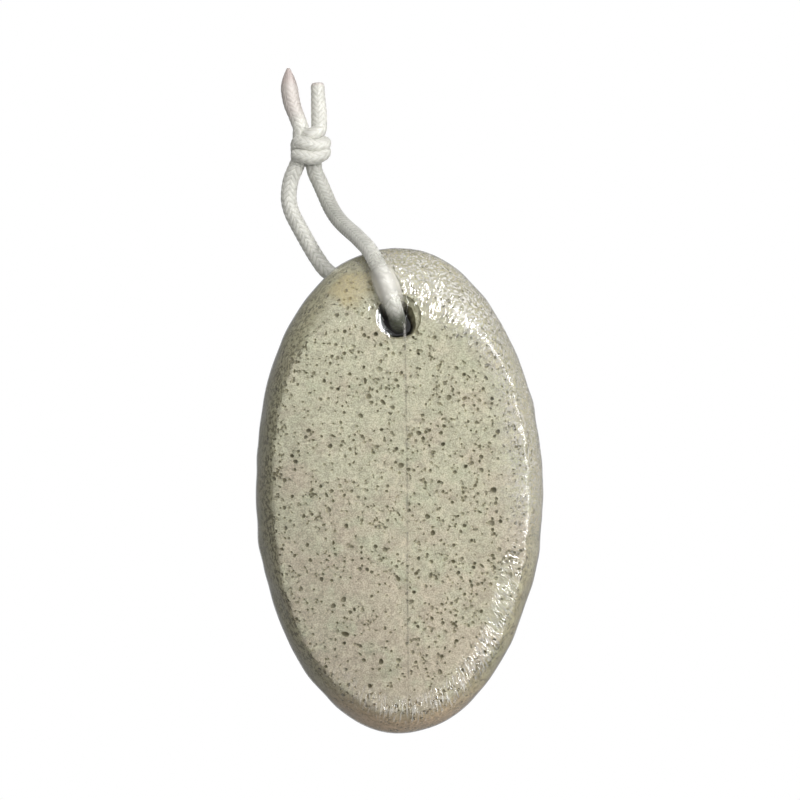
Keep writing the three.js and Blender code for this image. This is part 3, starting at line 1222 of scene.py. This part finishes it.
@dataclass(frozen=True)
class Pores:
    """The open pores of one face, laid out flat, one a row.

    Attributes:
        middle: Their middles.
        half: Their half widths, along and across.
        turn: Which way they are turned.
        deep: Their depths.
        dark: How much painted shade darkens them, from 0 to 1.
        phase: Where their outlines bulge.
        squeeze: How much narrower the skin really is there than laid out.
        step: The distance between the mesh points round a pore.
    """

    middle: np.ndarray
    half: np.ndarray
    turn: np.ndarray
    deep: np.ndarray
    dark: np.ndarray
    phase: np.ndarray
    squeeze: np.ndarray
    step: float = 0.205 * MM

    def bulge(self, k: int, angle: np.ndarray) -> np.ndarray:
        """Gives the outline's reach, round 1, of pore k at each angle."""
        return 1 + 0.08 * np.sin(2 * angle + self.phase[k]) + 0.06 * np.sin(3 * angle + 2 * self.phase[k])

    def rings(self, k: int) -> np.ndarray:
        """Rings one pore with mesh points, more of them if it is larger.

        Args:
            k: The pore's number.

        Returns:
            Laid-out points, two numbers a row.
        """
        corners = int(np.clip(round(FULL_TURN * self.half[k].mean() / self.step), 7, 22))
        plan = [(1.03, corners), (0.86, corners)]
        plan += [(0.52, corners // 2)] if corners > 10 else []
        points = [self.middle[k][None]]
        for share, count in plan:
            angle = np.arange(count) / count * FULL_TURN + share * 9
            units = directions(angle) * (share * self.bulge(k, angle))[:, None]
            points.append(self.middle[k] + units @ self.axes(k))
        return np.vstack(points)

    def axes(self, k: int) -> np.ndarray:
        """Works out a pore's half axes on the laid-out face.

        Args:
            k: The pore's number.

        Returns:
            The two half axes, one a row.
        """
        radial = self.middle[k] / max(float(np.hypot(*self.middle[k])), 1e-9)
        skin = np.array([radial, np.array([-radial[1], radial[0]]) / self.squeeze[k]])
        cos, sin = math.cos(self.turn[k]), math.sin(self.turn[k])
        return np.array([[cos, sin], [-sin, cos]]) @ skin * self.half[k][:, None]

    def hollow_shade(self, points: np.ndarray) -> tuple[np.ndarray, np.ndarray]:
        """Works out how far laid-out points are sunk into pores, and the painted shade in them.

        Args:
            points: Laid-out points, two numbers a row.

        Returns:
            Each point's depth, and how much painted shade darkens it.
        """
        order = np.argsort(points[:, 0])
        sorted_points = points[order]
        depth, dark = np.zeros(len(points)), np.zeros(len(points))
        for k, middle in enumerate(self.middle):
            most = float(self.half[k].max()) * 1.35 / self.squeeze[k]
            low, high = np.searchsorted(sorted_points[:, 0], [middle[0] - most, middle[0] + most])
            rows = order[low:high]
            rows = rows[np.abs(points[rows, 1] - middle[1]) < most]
            unit = (points[rows] - middle) @ np.linalg.inv(self.axes(k))
            out = np.hypot(*unit.T) / self.bulge(k, np.arctan2(unit[:, 1], unit[:, 0]))
            sunk = np.clip(1 - out**3.2, 0, 1)
            depth[rows] = np.maximum(depth[rows], self.deep[k] * sunk)
            # Painted shade: darkest over most of each pore, fading out at its rim.
            dark[rows] = np.maximum(dark[rows], self.dark[k] * np.clip((1.04 - out) / 0.24, 0, 1))
        return depth, dark

    def overleaf(self, pebble: Pebble) -> "Pores":
        """Lays the pores near the middle of the side out on the other face.

        Args:
            pebble: The form that the faces belong to.

        Returns:
            Those pores, as the other face has them.
        """
        heading = np.arctan2(self.middle[:, 1], self.middle[:, 0])
        out = np.hypot(*self.middle.T)
        left = pebble.reach(heading) - out
        near = left < 2 * MM
        moved = self.middle * ((out + 2 * left) / out)[:, None]
        fields = [self.half, -self.turn, self.deep, self.dark, -self.phase, self.squeeze]
        return Pores(moved[near], *(field[near] for field in fields))

    def plus(self, others: "Pores") -> "Pores":
        """Gives both sets of pores together."""
        names = ("middle", "half", "turn", "deep", "dark", "phase", "squeeze")
        return Pores(*(np.concatenate([getattr(self, n), getattr(others, n)]) for n in names))


@dataclass
class PumiceStone:
    """The bath pumice, with its pores as real hollows.

    Attributes:
        pebble: Its form.
        bore: The hole near its head.
        finish: Its material.
        per_area: How many pores there are a square metre, on the front and on the back.
        widths: The middle, smallest and largest width of a pore.
        paired: The share of the pores that touch another one.
        border: How far from the worn border of the face the pores still crowd.
        drift: How much the crowding grows, a metre, towards the right.
        thrown: Half the width and half the length of the field over which the pores are thrown.
        field: The laid-out face's area, by which the wished number of pores is reckoned.
        rough: The roughness of the hole's wall.
        stains: The stains on the hole's wall.
        spacing: The distance between the mesh points away from the pores.
        closest: The least distance between mesh points.
    """

    pebble: Pebble = Pebble()
    bore: Bore = Bore()
    finish: PumiceFinish = PumiceFinish()
    per_area: tuple[float, float] = (0.53e6, 0.32e6)
    widths: tuple[float, float, float] = (0.51 * MM, 0.30 * MM, 1.25 * MM)
    paired: float = 0.13
    border: float = 1.1 * MM
    drift: float = 6.0
    thrown: tuple[float, float] = (40 * MM, 58 * MM)
    field: float = 0.0058
    rough: WaveField = WaveField(2.2 * MM, 0.11 * MM, 16, 31)
    stains: WaveField = WaveField(0.8 * MM, 0.4, 14, 8)
    spacing: float = 1.15 * MM
    closest: float = 0.085 * MM

    def throw(self, side: Side, seed: int) -> Pores:
        """Throws the pores of one face at random.

        Args:
            side: The face.
            seed: The seed of the throw.

        Returns:
            The face's own pores.
        """
        rng = np.random.default_rng(seed)
        crowd = WaveField(9 * MM, 0.15, 10, seed)
        middle, usual = np.zeros((0, 2)), []
        aimed = int(self.per_area[side is Side.BACK] * self.field)
        while len(usual) < aimed:
            wide = float(np.clip(self.widths[0] * rng.lognormal(0, 0.29), *self.widths[1:]))
            if usual and rng.random() < self.paired:
                mate = rng.integers(len(usual))
                angle = rng.uniform(0, FULL_TURN)
                far = (usual[mate] + wide) / 2 * rng.uniform(0.75, 1.1)
                spot = middle[mate] + far * directions(angle)
                close = 0.36
            else:
                spot = rng.uniform(-1, 1, 2) * self.thrown
                close = 0.62
            heading = np.array([math.atan2(spot[1], spot[0])])
            out, reach = float(np.hypot(*spot)), float(self.pebble.reach(heading)[0])
            folded = self.pebble.folded(side, spot[None])[0]
            real = float(np.hypot(folded[0], folded[1])) / max(out, 1e-6)
            rim, edge = (float(v[0]) for v in self.pebble.rim(heading))
            border = math.exp(-(((out - rim + edge) / self.border) ** 2)) * (edge < 8 * MM)
            patchy = float(crowd.at(np.array([[*spot, 0.0]]))[0])
            crowded = 0.5 + 0.75 * border + spot[0] * self.drift + patchy
            in_bore = np.hypot(*(folded[:2] - self.bore.middle)) < self.bore.mouth + wide * 0.2
            if out > reach or in_bore or rng.random() > real * crowded:
                continue
            if usual and (np.hypot(*(middle - spot).T) < close * (np.array(usual) + wide)).any():
                continue
            middle = np.vstack([middle, spot])
            usual.append(wide)
        count = len(usual)
        wide = np.array(usual)
        long = np.where(rng.random(count) < 0.08, rng.uniform(1.4, 2.0, count), rng.uniform(1, 1.15, count))
        half = np.stack([wide * np.sqrt(long), wide / np.sqrt(long)], axis=1) / 2
        deep = np.minimum(wide * rng.uniform(0.35, 0.75, count), 0.8 * MM)
        dark = np.clip(rng.normal(0.62, 0.25, count), 0.2, 1)
        plan = self.pebble.folded(side, middle)[:, :2]
        squeeze = np.clip(np.hypot(*plan.T) / np.maximum(np.hypot(*middle.T), 1e-6), 0.4, 1)
        turn, phase = rng.uniform(0, FULL_TURN, (2, count))
        return Pores(middle, half, turn, deep, dark, phase, squeeze)

    def face(self, side: Side, pores: Pores, equator: np.ndarray) -> dict:
        """Builds one face of the stone.

        Args:
            side: The face.
            pores: Its pores, with those that reach over from the other face.
            equator: The laid-out points of the middle of the side.

        Returns:
            Its places, triangles, loops, and how much painted shade darkens each point.
        """
        mouth = self.pebble.laid_out(self.bore.circle(self.bore.mouth, 72))
        rough = np.array([pores.rings(k) for k in range(len(pores.middle))], dtype=object)
        loose = np.vstack([*rough, scattered(self.pebble, self.spacing, 5)])
        loose = within(self.pebble, thinned(loose, self.closest), 0.09 * MM)
        plan = self.pebble.folded(side, loose)[:, :2]
        loose = loose[np.hypot(*(plan - self.bore.middle).T) > self.bore.mouth + 0.1 * MM]
        flat, triangles, loops = triangulated(loose, [equator, mouth])
        places, normal = self.pebble.skin(side, flat)
        depth, dark = pores.hollow_shade(flat)
        return {
            "places": places - normal * depth[:, None],
            "dark": dark,
            "triangles": triangles if side is Side.FRONT else triangles[:, ::-1],
            "equator": loops[0],
            "mouth": loops[1],
        }

    def wall(self, front: np.ndarray, back: np.ndarray) -> np.ndarray:
        """Builds the rows of points down the hole, between its two mouths.

        Args:
            front: The places round the front mouth.
            back: The places round the back mouth.

        Returns:
            Places by row, by place round the hole, and by axis.
        """
        middle = np.array(self.bore.middle)
        turn = np.arange(len(front)) / len(front) * FULL_TURN
        spoke = directions(turn)
        bends = np.linspace(0, math.pi / 2, 8)[1:]
        sunk = self.bore.flare * np.sin(bends)
        radius = self.bore.mouth - (self.bore.mouth - self.bore.waist) * (1 - np.cos(bends))
        inner = np.linspace(0, 1, 30)[1:-1]
        top, base = front[:, 2] - self.bore.flare, back[:, 2] + self.bore.flare
        rows = [(front[:, 2] - s, r) for s, r in zip(sunk, radius)]
        rows += [(top + (base - top) * share, self.bore.waist) for share in inner]
        rows += [(back[:, 2] + s, r) for s, r in zip(sunk[::-1], radius[::-1])]
        wall = np.array([np.column_stack([middle + spoke * r, z]) for z, r in rows])
        rough = self.rough.at(wall.reshape(-1, 3)).reshape(wall.shape[:2])
        deep = np.linspace(0, 1, len(rows))[:, None]
        inward = window(deep, 0.0, 0.30, 0.75, 0.98)
        beside = smooth_step(np.cos(turn - self.bore.narrowed), -0.2, 0.8)
        rough = rough - self.bore.narrow * inward * beside
        wall[..., :2] += spoke * rough[..., None]
        return wall

    def build(self) -> bpy.types.Object:
        """Builds the stone.

        Returns:
            The piece, which has no finish yet.
        """
        own = {Side.FRONT: self.throw(Side.FRONT, 3), Side.BACK: self.throw(Side.BACK, 4)}
        equator = self.pebble.equator(0.5 * MM)
        front = self.face(Side.FRONT, own[Side.FRONT].plus(own[Side.BACK].overleaf(self.pebble)), equator)
        back = self.face(Side.BACK, own[Side.BACK].plus(own[Side.FRONT].overleaf(self.pebble)), equator)
        places, shared, fresh, faces = joined(front, back)
        dark = np.concatenate([front["dark"], back["dark"][fresh]])
        mouths = front["mouth"], shared[back["mouth"]]
        wall = self.wall(places[mouths[0]], places[mouths[1]])
        first = len(places)
        rows = first + np.arange(wall.shape[0] * wall.shape[1]).reshape(wall.shape[:2])
        rows = np.vstack([mouths[0], rows, mouths[1]])
        beside = np.roll(rows, -1, axis=1)
        quads = np.stack([rows[:-1], rows[1:], beside[1:], beside[:-1]], axis=-1).reshape(-1, 4)
        places = np.vstack([places, wall.reshape(-1, 3)])
        piece = piece_from("pored_stone", self.pebble.lay(places), [*faces, *quads.tolist()])
        # Painted shade down the hole's wall: dark, with random stains, and painted lighter on the side
        # towards the lamps near the front mouth.
        spots = self.stains.at(places[first:])
        lit = self.pebble.lay(places[first:])[:, 0] * smooth_step(places[first:, 2], 0, 10 * MM) / (4 * MM)
        inside = np.clip(spots * 0.5 + 0.58 - 0.38 * lit, 0.12, 0.97)
        write_attribute(piece, "hollow_shade", np.concatenate([dark, inside]))
        piece.data.set_sharp_from_angle(angle=math.radians(42))
        return piece

    def dress(self, piece: bpy.types.Object) -> None:
        """Gives the stone its finish and ties it to the frame.

        Args:
            piece: What build() gave.
        """
        piece.data.materials.append(self.finish.material())
        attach(piece, ROOT)
        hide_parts("pumice_stone")


# ---- The film ----


@dataclass
class ShrinkFilm:
    """The clear film, shrunk tightly round the stone and over the cord that lies on it.

    Attributes:
        pebble: The stone's form.
        bore: The stone's hole, which the film spans.
        finish: Its material.
        offset: How far it lies off the stone's skin.
        off_cord: How far it lies off the cord.
        softness: How widely the fold between stone and cord is rounded.
        covered: The stretch of the loop that it covers, as shares of the loop's length.
        leans: How steeply it leaves the cord on either side, in degrees.
        flatter: How much less steeply it leaves the upper leg where that comes out, in degrees.
        closing: How much more closely it wraps the cord at both ends of the covered stretch.
        dip: How far it sags into the hole.
        seam_at: Where the seam runs across the front.
        seam_height: How far the seam stands out.
        pleats_at: The heading round which it is pleated, and how far the pleats spread, in degrees.
        corner: The middle of the crumpled corner at the head, in plan, in millimetres.
        corner_size: Half the corner's length and half its width, in millimetres.
        corner_way: The direction in which the corner is long.
        unrolled: The heading and the radius from which it is unrolled for the folds of its finish.
        broad: The broad waves of the crumpled film.
        fine: The fine waves of the crumpled film.
        knit: The unevenness of the film on the cord.
        spacings: The distance between the mesh points on the front, on the back, and at the creases.
        creased: How far from the cord the mesh is as fine as at the creases.
        seam_rows: How far aside of the seam's line its rows of mesh points run, in millimetres.
        seed: The seed of its wrinkles.
    """

    pebble: Pebble = Pebble()
    bore: Bore = Bore()
    finish: FilmFinish = FilmFinish()
    offset: float = 0.16 * MM
    off_cord: float = 0.1 * MM
    softness: float = 0.28 * MM
    covered: tuple[float, float] = (0.245, 0.700)
    leans: tuple[float, float] = (66.0, 75.0)
    flatter: float = 26.0
    closing: float = 0.35 * MM
    dip: float = 0.36 * MM
    seam_at: float = 1.2 * MM
    seam_height: float = 0.035 * MM
    pleats_at: tuple[float, float] = (-68.0, 36.0)
    corner: tuple[float, float] = (8.5, 37.5)
    corner_size: tuple[float, float] = (12.5, 5.0)
    corner_way: tuple[float, float] = (0.79, -0.61)
    unrolled: tuple[float, float] = (math.radians(135), 38 * MM)
    broad: WaveField = WaveField(2.1 * MM, 0.05 * MM, 18, 5)
    fine: WaveField = WaveField(1.0 * MM, 0.012 * MM, 18, 9)
    knit: WaveField = WaveField(1.3 * MM, 0.11 * MM, 18, 6)
    spacings: tuple[float, float, float] = (0.62 * MM, 1.1 * MM, 0.3 * MM)
    creased: float = 4.6 * MM
    seam_rows: tuple[float, ...] = (-0.30, -0.11, 0, 0.11, 0.30)
    seed: int = 21

    def footward(self, heading: np.ndarray) -> np.ndarray:
        """Gives how pleated the film is by its heading, from 0 to 1."""
        middle, spread = self.pleats_at
        return np.exp(-(((np.degrees(heading) - middle) / spread) ** 2))

    def wrinkles(self) -> list[tuple[float, float, float, float, float, float]]:
        """Chooses the radial wrinkles between the face and the rim.

        Returns:
            The heading, inset, length, half width, height and lean of each wrinkle.
        """
        rng = np.random.default_rng(self.seed)
        chosen = []
        for heading in np.arange(math.radians(-122), math.radians(-12), math.radians(0.66)):
            foot = float(self.footward(heading))
            if rng.random() > 0.15 + 0.80 * foot:
                continue
            spot = heading + rng.uniform(-0.007, 0.007)
            start = rng.uniform(1.8, 5.0) * MM
            length = rng.uniform(2.4, 3.4 + 2.6 * foot) * MM
            high = rng.uniform(0.02, 0.05 + 0.04 * foot) * MM
            chosen.append((spot, start, length, rng.uniform(0.15, 0.21) * MM, high, rng.uniform(-0.4, 0.25)))
        return chosen

    def gathered(self, places: np.ndarray) -> dict[str, np.ndarray]:
        """Works out where the front's film is drawn together, beside the cord's own creases.

        Args:
            places: Places on the skin.

        Returns:
            How crumpled and how pleated it is at each place, and how much painted sheen it has.
        """
        x, y = places[:, 0] / MM, places[:, 1] / MM
        heading = np.arctan2(y, x)
        inset = (self.pebble.rim(heading)[0] - np.hypot(*places[:, :2].T)) / MM
        cos, sin = self.corner_way
        aside, ahead = x - self.corner[0], y - self.corner[1]
        along, across = cos * aside + sin * ahead, cos * ahead - sin * aside
        corner = np.exp(-((along / self.corner_size[0]) ** 4) - (across / self.corner_size[1]) ** 4)
        right = smooth_step(x, 9, 16) * window(inset, 1.8, 2.8, 3.8, 5.6)
        bore = self.bore.share(places)
        rim = window(bore, 0.7, 0.95, 1.05, 1.5)
        # Painted sheen: whitish on the upper right side, which faces the lamps, and at the crumpled corner.
        outward = smooth_step(np.cos(heading - math.radians(38)), 0.15, 0.85)
        return {
            "crumpled": np.maximum(corner, 0.8 * right) * smooth_step(bore, 0.95, 1.1) + 0.25 * rim,
            "pleated": self.footward(heading) * window(inset, 2.4, 4.2, 7, 9.5),
            "painted_sheen": outward * smooth_step(inset, 11, 3.5) + 0.6 * corner,
        }

    def tent(self, places: np.ndarray, normal: np.ndarray, cord: np.ndarray, radius: float) -> np.ndarray:
        """Works out how high the film must stand to pass over the cord.

        Args:
            places: Places on the skin.
            normal: The skin's outward directions there.
            cord: Places along the covered stretch of the cord, in the stone's own frame.
            radius: The radius over the cord at which the film lies.

        Returns:
            Heights over the skin, which are negative away from the cord.
        """
        ahead = np.gradient(cord, axis=0)
        ahead /= np.linalg.norm(ahead, axis=1)[:, None]
        best = np.full(len(places), -1.0)
        usual, count = radius, len(cord)
        for k, (spot, way) in enumerate(zip(cord, ahead)):
            radius = usual - self.closing * max(0.0, 1 - min(k, count - 1 - k) / 5)
            spread = self.flatter * max(0.0, 1 - (count - 1 - k) / 8)
            steep = [math.tan(math.radians(lean)) for lean in (self.leans[0] - spread, self.leans[1])]
            gap = spot - places
            along = (gap * normal).sum(1)
            flat = gap - along[:, None] * normal
            aside = np.linalg.norm(flat, axis=1)
            over = (flat * np.cross(way, normal)).sum(1) / np.maximum(aside, 1e-9)
            slope = steep[0] + (steep[1] - steep[0]) * smooth_step(over, -1, 1)
            lean = np.arctan(slope)
            edge = radius * np.sin(lean)
            dome = np.sqrt(np.clip(radius**2 - aside**2, 0, None))
            web = radius * np.cos(lean) - (aside - edge) * slope
            best = np.maximum(best, along + np.where(aside < edge, dome, web))
        return best

    def mesh_points(self, side: Side, cord: np.ndarray) -> np.ndarray:
        """Scatters the mesh points over one face, closer together at the cord, the folds and the seam.

        Args:
            side: The face.
            cord: Places along the covered stretch of the cord, in the stone's own frame.

        Returns:
            Laid-out points, two numbers a row.
        """
        fine = side is Side.FRONT
        loose = [scattered(self.pebble, self.spacings[0 if fine else 1], 6)]
        dense = scattered(self.pebble, self.spacings[2], 7)
        skin = self.pebble.folded(side, dense)
        near = np.array([np.linalg.norm(cord - p, axis=1).min() for p in skin]) < self.creased
        if fine:
            near |= self.gathered(skin)["crumpled"] > 0.3
        loose.append(dense[near])
        if fine:
            inset = np.arange(1.5 * MM, 9.5 * MM, 0.6 * MM)
            for heading in np.arange(math.radians(-125), math.radians(-8), 0.0022):
                out = self.pebble.rim(np.array([heading]))[0][0] - inset
                loose.append(self.pebble.laid_out(out[:, None] * directions(heading)))
            down = np.arange(self.bore.middle[1] + 2 * MM, -50 * MM, -0.5 * MM)
            for aside in self.seam_rows:
                plan = np.stack([self.seam_line(down) + aside * MM, down], axis=1)
                loose.append(self.pebble.laid_out(plan[np.abs(down) < 46 * MM]))
        return within(self.pebble, thinned(np.vstack(loose[::-1]), 0.09 * MM), 0.15 * MM)

    def sheet(self, side: Side, cord: np.ndarray, radius: float, equator: np.ndarray) -> dict:
        """Builds the film over one face.

        Args:
            side: The face.
            cord: Places along the covered stretch of the cord, in the stone's own frame.
            radius: The radius over the cord at which the film lies.
            equator: The laid-out points of the middle of the side.

        Returns:
            Its places, triangles and equator, and the numbers that heights() gives.
        """
        flat, triangles, loops = triangulated(self.mesh_points(side, cord), [equator])
        places, normal = self.pebble.skin(side, flat)
        made = self.heights(side, places, normal, cord, radius)
        made["places"] = places + normal * made.pop("height")[:, None]
        made["triangles"] = triangles if side is Side.FRONT else triangles[:, ::-1]
        made["equator"] = loops[0]
        return made

    def seam_line(self, along: np.ndarray) -> np.ndarray:
        """Gives how far across the seam lies at each distance along the stone."""
        return self.seam_at + 0.25 * MM * np.sin(along / (17 * MM) + 0.5)

    def heights(
        self, side: Side, places: np.ndarray, normal: np.ndarray, cord: np.ndarray, radius: float
    ) -> dict[str, np.ndarray]:
        """Works out the film's height over the skin, and how it is drawn in.

        Args:
            side: The face.
            places: Places on the skin.
            normal: The skin's outward directions there.
            cord: Places along the covered stretch of the cord.
            radius: The radius over the cord at which the film lies.

        Returns:
            The height, and the numbers that the film's finish reads: how far each point is gathered,
            pleated, clinging to the cord, hazy, painted with sheen, seamed and calm, and its unrolled place.
        """
        x, y = places[:, 0], places[:, 1]
        heading, out = np.arctan2(y, x), np.hypot(x, y)
        inset = self.pebble.rim(heading)[0] - out
        tent = self.tent(places, normal, cord, radius)
        bore = self.bore.share(places)
        sag = 0.8 - 0.7 * (x - self.bore.middle[0]) / self.bore.mouth
        lift = np.full(len(places), self.offset) - self.dip * sag * np.clip(1 - bore**4, 0, 1)
        cling = smooth_step(tent, 0.3 * MM, 2.0 * MM)
        gather = 0.05 + 0.30 * smooth_step(tent, -2.5 * MM, 0)
        last = cord[-1 if side is Side.FRONT else 0]
        fading = smooth_step(np.linalg.norm(places - last, axis=1), 3.0 * MM, 6.5 * MM)
        pleat, seam, strand, painted_sheen, calm = np.zeros((5, len(places)))
        if side is Side.FRONT:
            drawn = self.gathered(places)
            gather += drawn["crumpled"]
            pleat, painted_sheen = drawn["pleated"], drawn["painted_sheen"]
            for spot, start, length, half, high, lean in self.wrinkles():
                aside = ((heading - spot) * out - lean * (inset - start)) / half
                share = np.clip((inset - start) / length, 0, 1)
                lift += 1.5 * high * np.exp(-(aside**2)) * np.sin(math.pi * share)
            aside = np.abs(x - self.seam_line(y))
            run = smooth_step(y, 35.5 * MM, 34 * MM) * smooth_step(inset, 0.5 * MM, 2 * MM)
            run *= smooth_step(bore, 0.9, 1.05)
            seam = smooth_step(aside, 0.22 * MM, 0.04 * MM) * run
            strand = smooth_step(aside, 0.2 * MM, 0.05 * MM) * smooth_step(bore, 1.0, 0.9) * (y < 32.3 * MM)
            lift += self.seam_height * seam
            calm = smooth_step(bore, 1.08, 0.85) * (0.6 + 0.4 * smooth_step(x, -1.5 * MM, 0.5 * MM))
        crumple = (self.broad.at(places) + self.fine.at(places)) * np.clip(gather - 0.1, 0, 1)
        knit = self.knit.at(places) * cling
        around = (heading - self.unrolled[0]) % FULL_TURN * self.unrolled[1]
        veil = cling * fading * (0.3 + 0.7 * smooth_step(bore, 0.45, 1.25))
        return {
            "height": smooth_larger(lift, tent, self.softness) + crumple + knit,
            "gather": np.clip(gather, 0, 1),
            "pleat": np.clip(pleat, 0, 1),
            "cling": cling,
            "haze": np.maximum(0.4 * strand, 0.66 * veil),
            "painted_sheen": 0.26 * painted_sheen * smooth_step(bore, 0.9, 1.1),
            "seam": seam,
            "calm": np.maximum(calm, 0.65 * cling),
            "unrolled": np.stack([around, inset, np.zeros(len(places))], axis=1),
        }

    def build(self, loop: np.ndarray, radius: float) -> bpy.types.Object:
        """Builds the film.

        Args:
            loop: Places along the loop of cord.
            radius: The cord's radius.

        Returns:
            The piece, which has no finish yet.
        """
        start, end = (round(share * (len(loop) - 1)) for share in self.covered)
        cord = self.pebble.unlay(loop[start : end + 1 : 5])
        equator = self.pebble.equator(0.6 * MM)
        front = self.sheet(Side.FRONT, cord, radius + self.off_cord, equator)
        back = self.sheet(Side.BACK, cord, radius + self.off_cord, equator)
        places, _, fresh, faces = joined(front, back)
        piece = piece_from("clear_shrink_film", self.pebble.lay(places), faces)
        for key in ("gather", "pleat", "cling", "haze", "painted_sheen", "seam", "calm", "unrolled"):
            write_attribute(piece, key, np.concatenate([front[key], back[key][fresh]]))
        return piece

    def dress(self, piece: bpy.types.Object) -> None:
        """Gives the film its finish and ties it to the frame.

        Args:
            piece: What build() gave.
        """
        piece.data.materials.append(self.finish.material())
        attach(piece, ROOT)
        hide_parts("shrink_film")


# ---- The room ----


@dataclass(frozen=True)
class Lamp:
    """One area light.

    Attributes:
        name: Its name.
        watts: Its power.
        spot: Where it hangs.
        aim: Where it points.
        size: Its width and height.
        reach: The kind of surface that it lights.
    """

    name: str
    watts: float
    spot: tuple[float, float, float]
    aim: tuple[float, float, float]
    size: tuple[float, float]
    reach: Reach = Reach.MATT

    def build(self) -> None:
        """Hangs the light in the room."""
        data = bpy.data.lights.new(self.name, "AREA")
        data.energy = self.watts
        data.shape = "RECTANGLE"
        data.size, data.size_y = self.size
        lamp = bpy.data.objects.new(self.name, data)
        lamp.location = self.spot
        lamp.rotation_euler = (Vector(self.aim) - Vector(self.spot)).to_track_quat("-Z", "Y").to_euler()
        lamp.visible_glossy = self.reach is not Reach.MATT
        lamp.visible_diffuse = self.reach is not Reach.GLOSS
        bpy.context.scene.collection.objects.link(lamp)


# The first lamps light the matt surfaces. The panels are seen only in the film's shine.
LAMPS = (
    Lamp("key", 2.0, (0.195, 0.33, 0.39), (0, 0.01, 0.02), (0.30, 0.30)),
    Lamp("upper_left", 0.54, (-0.25, 0.50, 0.35), (0, 0.03, 0.02), (0.3, 0.2)),
    Lamp("left", 0.315, (-0.40, -0.12, 0.30), (0, 0, 0.02), (0.2, 0.4)),
    Lamp("right", 0.9, (0.42, 0.02, 0.36), (0, 0, 0.02), (0.08, 0.5)),
    Lamp("low_right", 0.9, (0.27, -0.34, 0.36), (0, -0.02, 0.02), (0.5, 0.08)),
    Lamp("grazing", 0.45, (0.52, -0.1, 0.08), (0, 0, 0.02), (0.7, 0.12), Reach.BOTH),
    Lamp("overhead", 1.5, (0.1, 0.12, 0.9), (0, 0, 0), (0.7, 0.7)),
    Lamp("head_panel", 23.0, (0.27, 0.43, 0.45), (0, 0.03, 0.02), (0.40, 0.52), Reach.GLOSS),
    Lamp("right_panel", 3.8, (0.46, 0.05, 0.34), (0, 0, 0.02), (0.26, 0.4), Reach.GLOSS),
    Lamp("stroke_panel", 0.9, (0.22, 0.08, 0.40), (0, -0.02, 0.02), (0.26, 0.22), Reach.GLOSS),
    Lamp("foot_panel", 0.8, (0.40, -0.22, 0.36), (0, -0.03, 0.02), (0.2, 0.12), Reach.GLOSS),
)


@dataclass
class Studio:
    """The camera, the lights and the white floor.

    Attributes:
        eye: Where the camera hangs.
        lens: Its focal length, in millimetres.
        sensor: Its sensor's width, in millimetres.
        turn: How far the camera is turned about its axis, in degrees.
        lamps: The lights.
        ambient: The brightness of the surroundings.
        expanse: Half the floor's width.
        shade: Half the width and half the length of the painted shadow, a dimmer oval on the floor under the
            stone.
        shade_glow: How brightly the painted shadow glows, where the rest of the floor is 1.
    """

    eye: tuple[float, float, float] = (0.41 * MM, 17.65 * MM, 573 * MM)
    lens: float = 129.2
    sensor: float = 36
    turn: float = -1.0
    lamps: tuple[Lamp, ...] = LAMPS
    ambient: float = 0.23
    expanse: float = 3.0
    shade: tuple[float, float] = (26.5 * MM, 45.5 * MM)
    shade_glow: float = 0.05

    def camera(self) -> None:
        """Hangs the camera over the stone, looking straight down."""
        data = bpy.data.cameras.new("eye")
        data.lens = self.lens
        data.sensor_width = self.sensor
        eye = bpy.data.objects.new("eye", data)
        eye.location = self.eye
        eye.rotation_euler = (0, 0, math.radians(self.turn))
        bpy.context.scene.collection.objects.link(eye)
        bpy.context.scene.camera = eye

    def floor(self) -> None:
        """Lays the white floor, with a painted shadow under the stone, and sets the surroundings."""
        corners = np.array([(-1, -1, 0), (1, -1, 0), (1, 1, 0), (-1, 1, 0)]) * self.expanse
        floor = piece_from("white_floor", corners, [[0, 1, 2, 3]])
        sheet = NodeSheet("white_floor_painted_shadow")
        oval = sheet.vectors("MULTIPLY", sheet.places(), (1 / self.shade[0], 1 / self.shade[1], 0))
        far = sheet.add("ShaderNodeVectorMath", {0: oval}, operation="LENGTH").outputs[1]
        # Painted shadow: the floor glows less in an oval under the stone.
        strength = sheet.ramp(far, 0.80, 1.0, self.shade_glow, 1.0)
        light = sheet.add("ShaderNodeEmission", {"Color": colour(1, 1, 1), "Strength": strength})
        floor.data.materials.append(sheet.finish(light.outputs[0]))
        floor.visible_diffuse = False
        floor.visible_glossy = False
        world = bpy.data.worlds.new("surroundings")
        world.use_nodes = True
        background = world.node_tree.nodes["Background"].inputs
        background["Color"].default_value = colour(1, 1, 1)
        background["Strength"].default_value = self.ambient
        bpy.context.scene.world = world
        bpy.context.scene.view_settings.view_transform = "Standard"

    def build(self) -> None:
        """Sets up the whole room."""
        self.camera()
        for lamp in self.lamps:
            lamp.build()
        self.floor()


def write_size() -> None:
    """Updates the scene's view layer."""
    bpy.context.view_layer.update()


def main() -> None:
    """Builds the room, the cord, the stone and the film."""
    logging.basicConfig(level=logging.INFO, format="%(name)s: %(message)s")
    Studio().build()
    cord = Cord()
    for piece in cord.build():
        LOG.info("%s: %d faces", piece.name, len(piece.data.polygons))
    stone = PumiceStone()
    pored = stone.build()
    stone.dress(pored)
    LOG.info("%s: %d faces", pored.name, len(pored.data.polygons))
    film = ShrinkFilm()
    traced = cord.line.trace()
    wrap = film.build(traced["line"][cord.line.stretch(traced, "loop")], cord.braid.radius)
    film.dress(wrap)
    LOG.info("%s: %d faces", wrap.name, len(wrap.data.polygons))
    write_size()


if __name__ == "__main__":
    main()
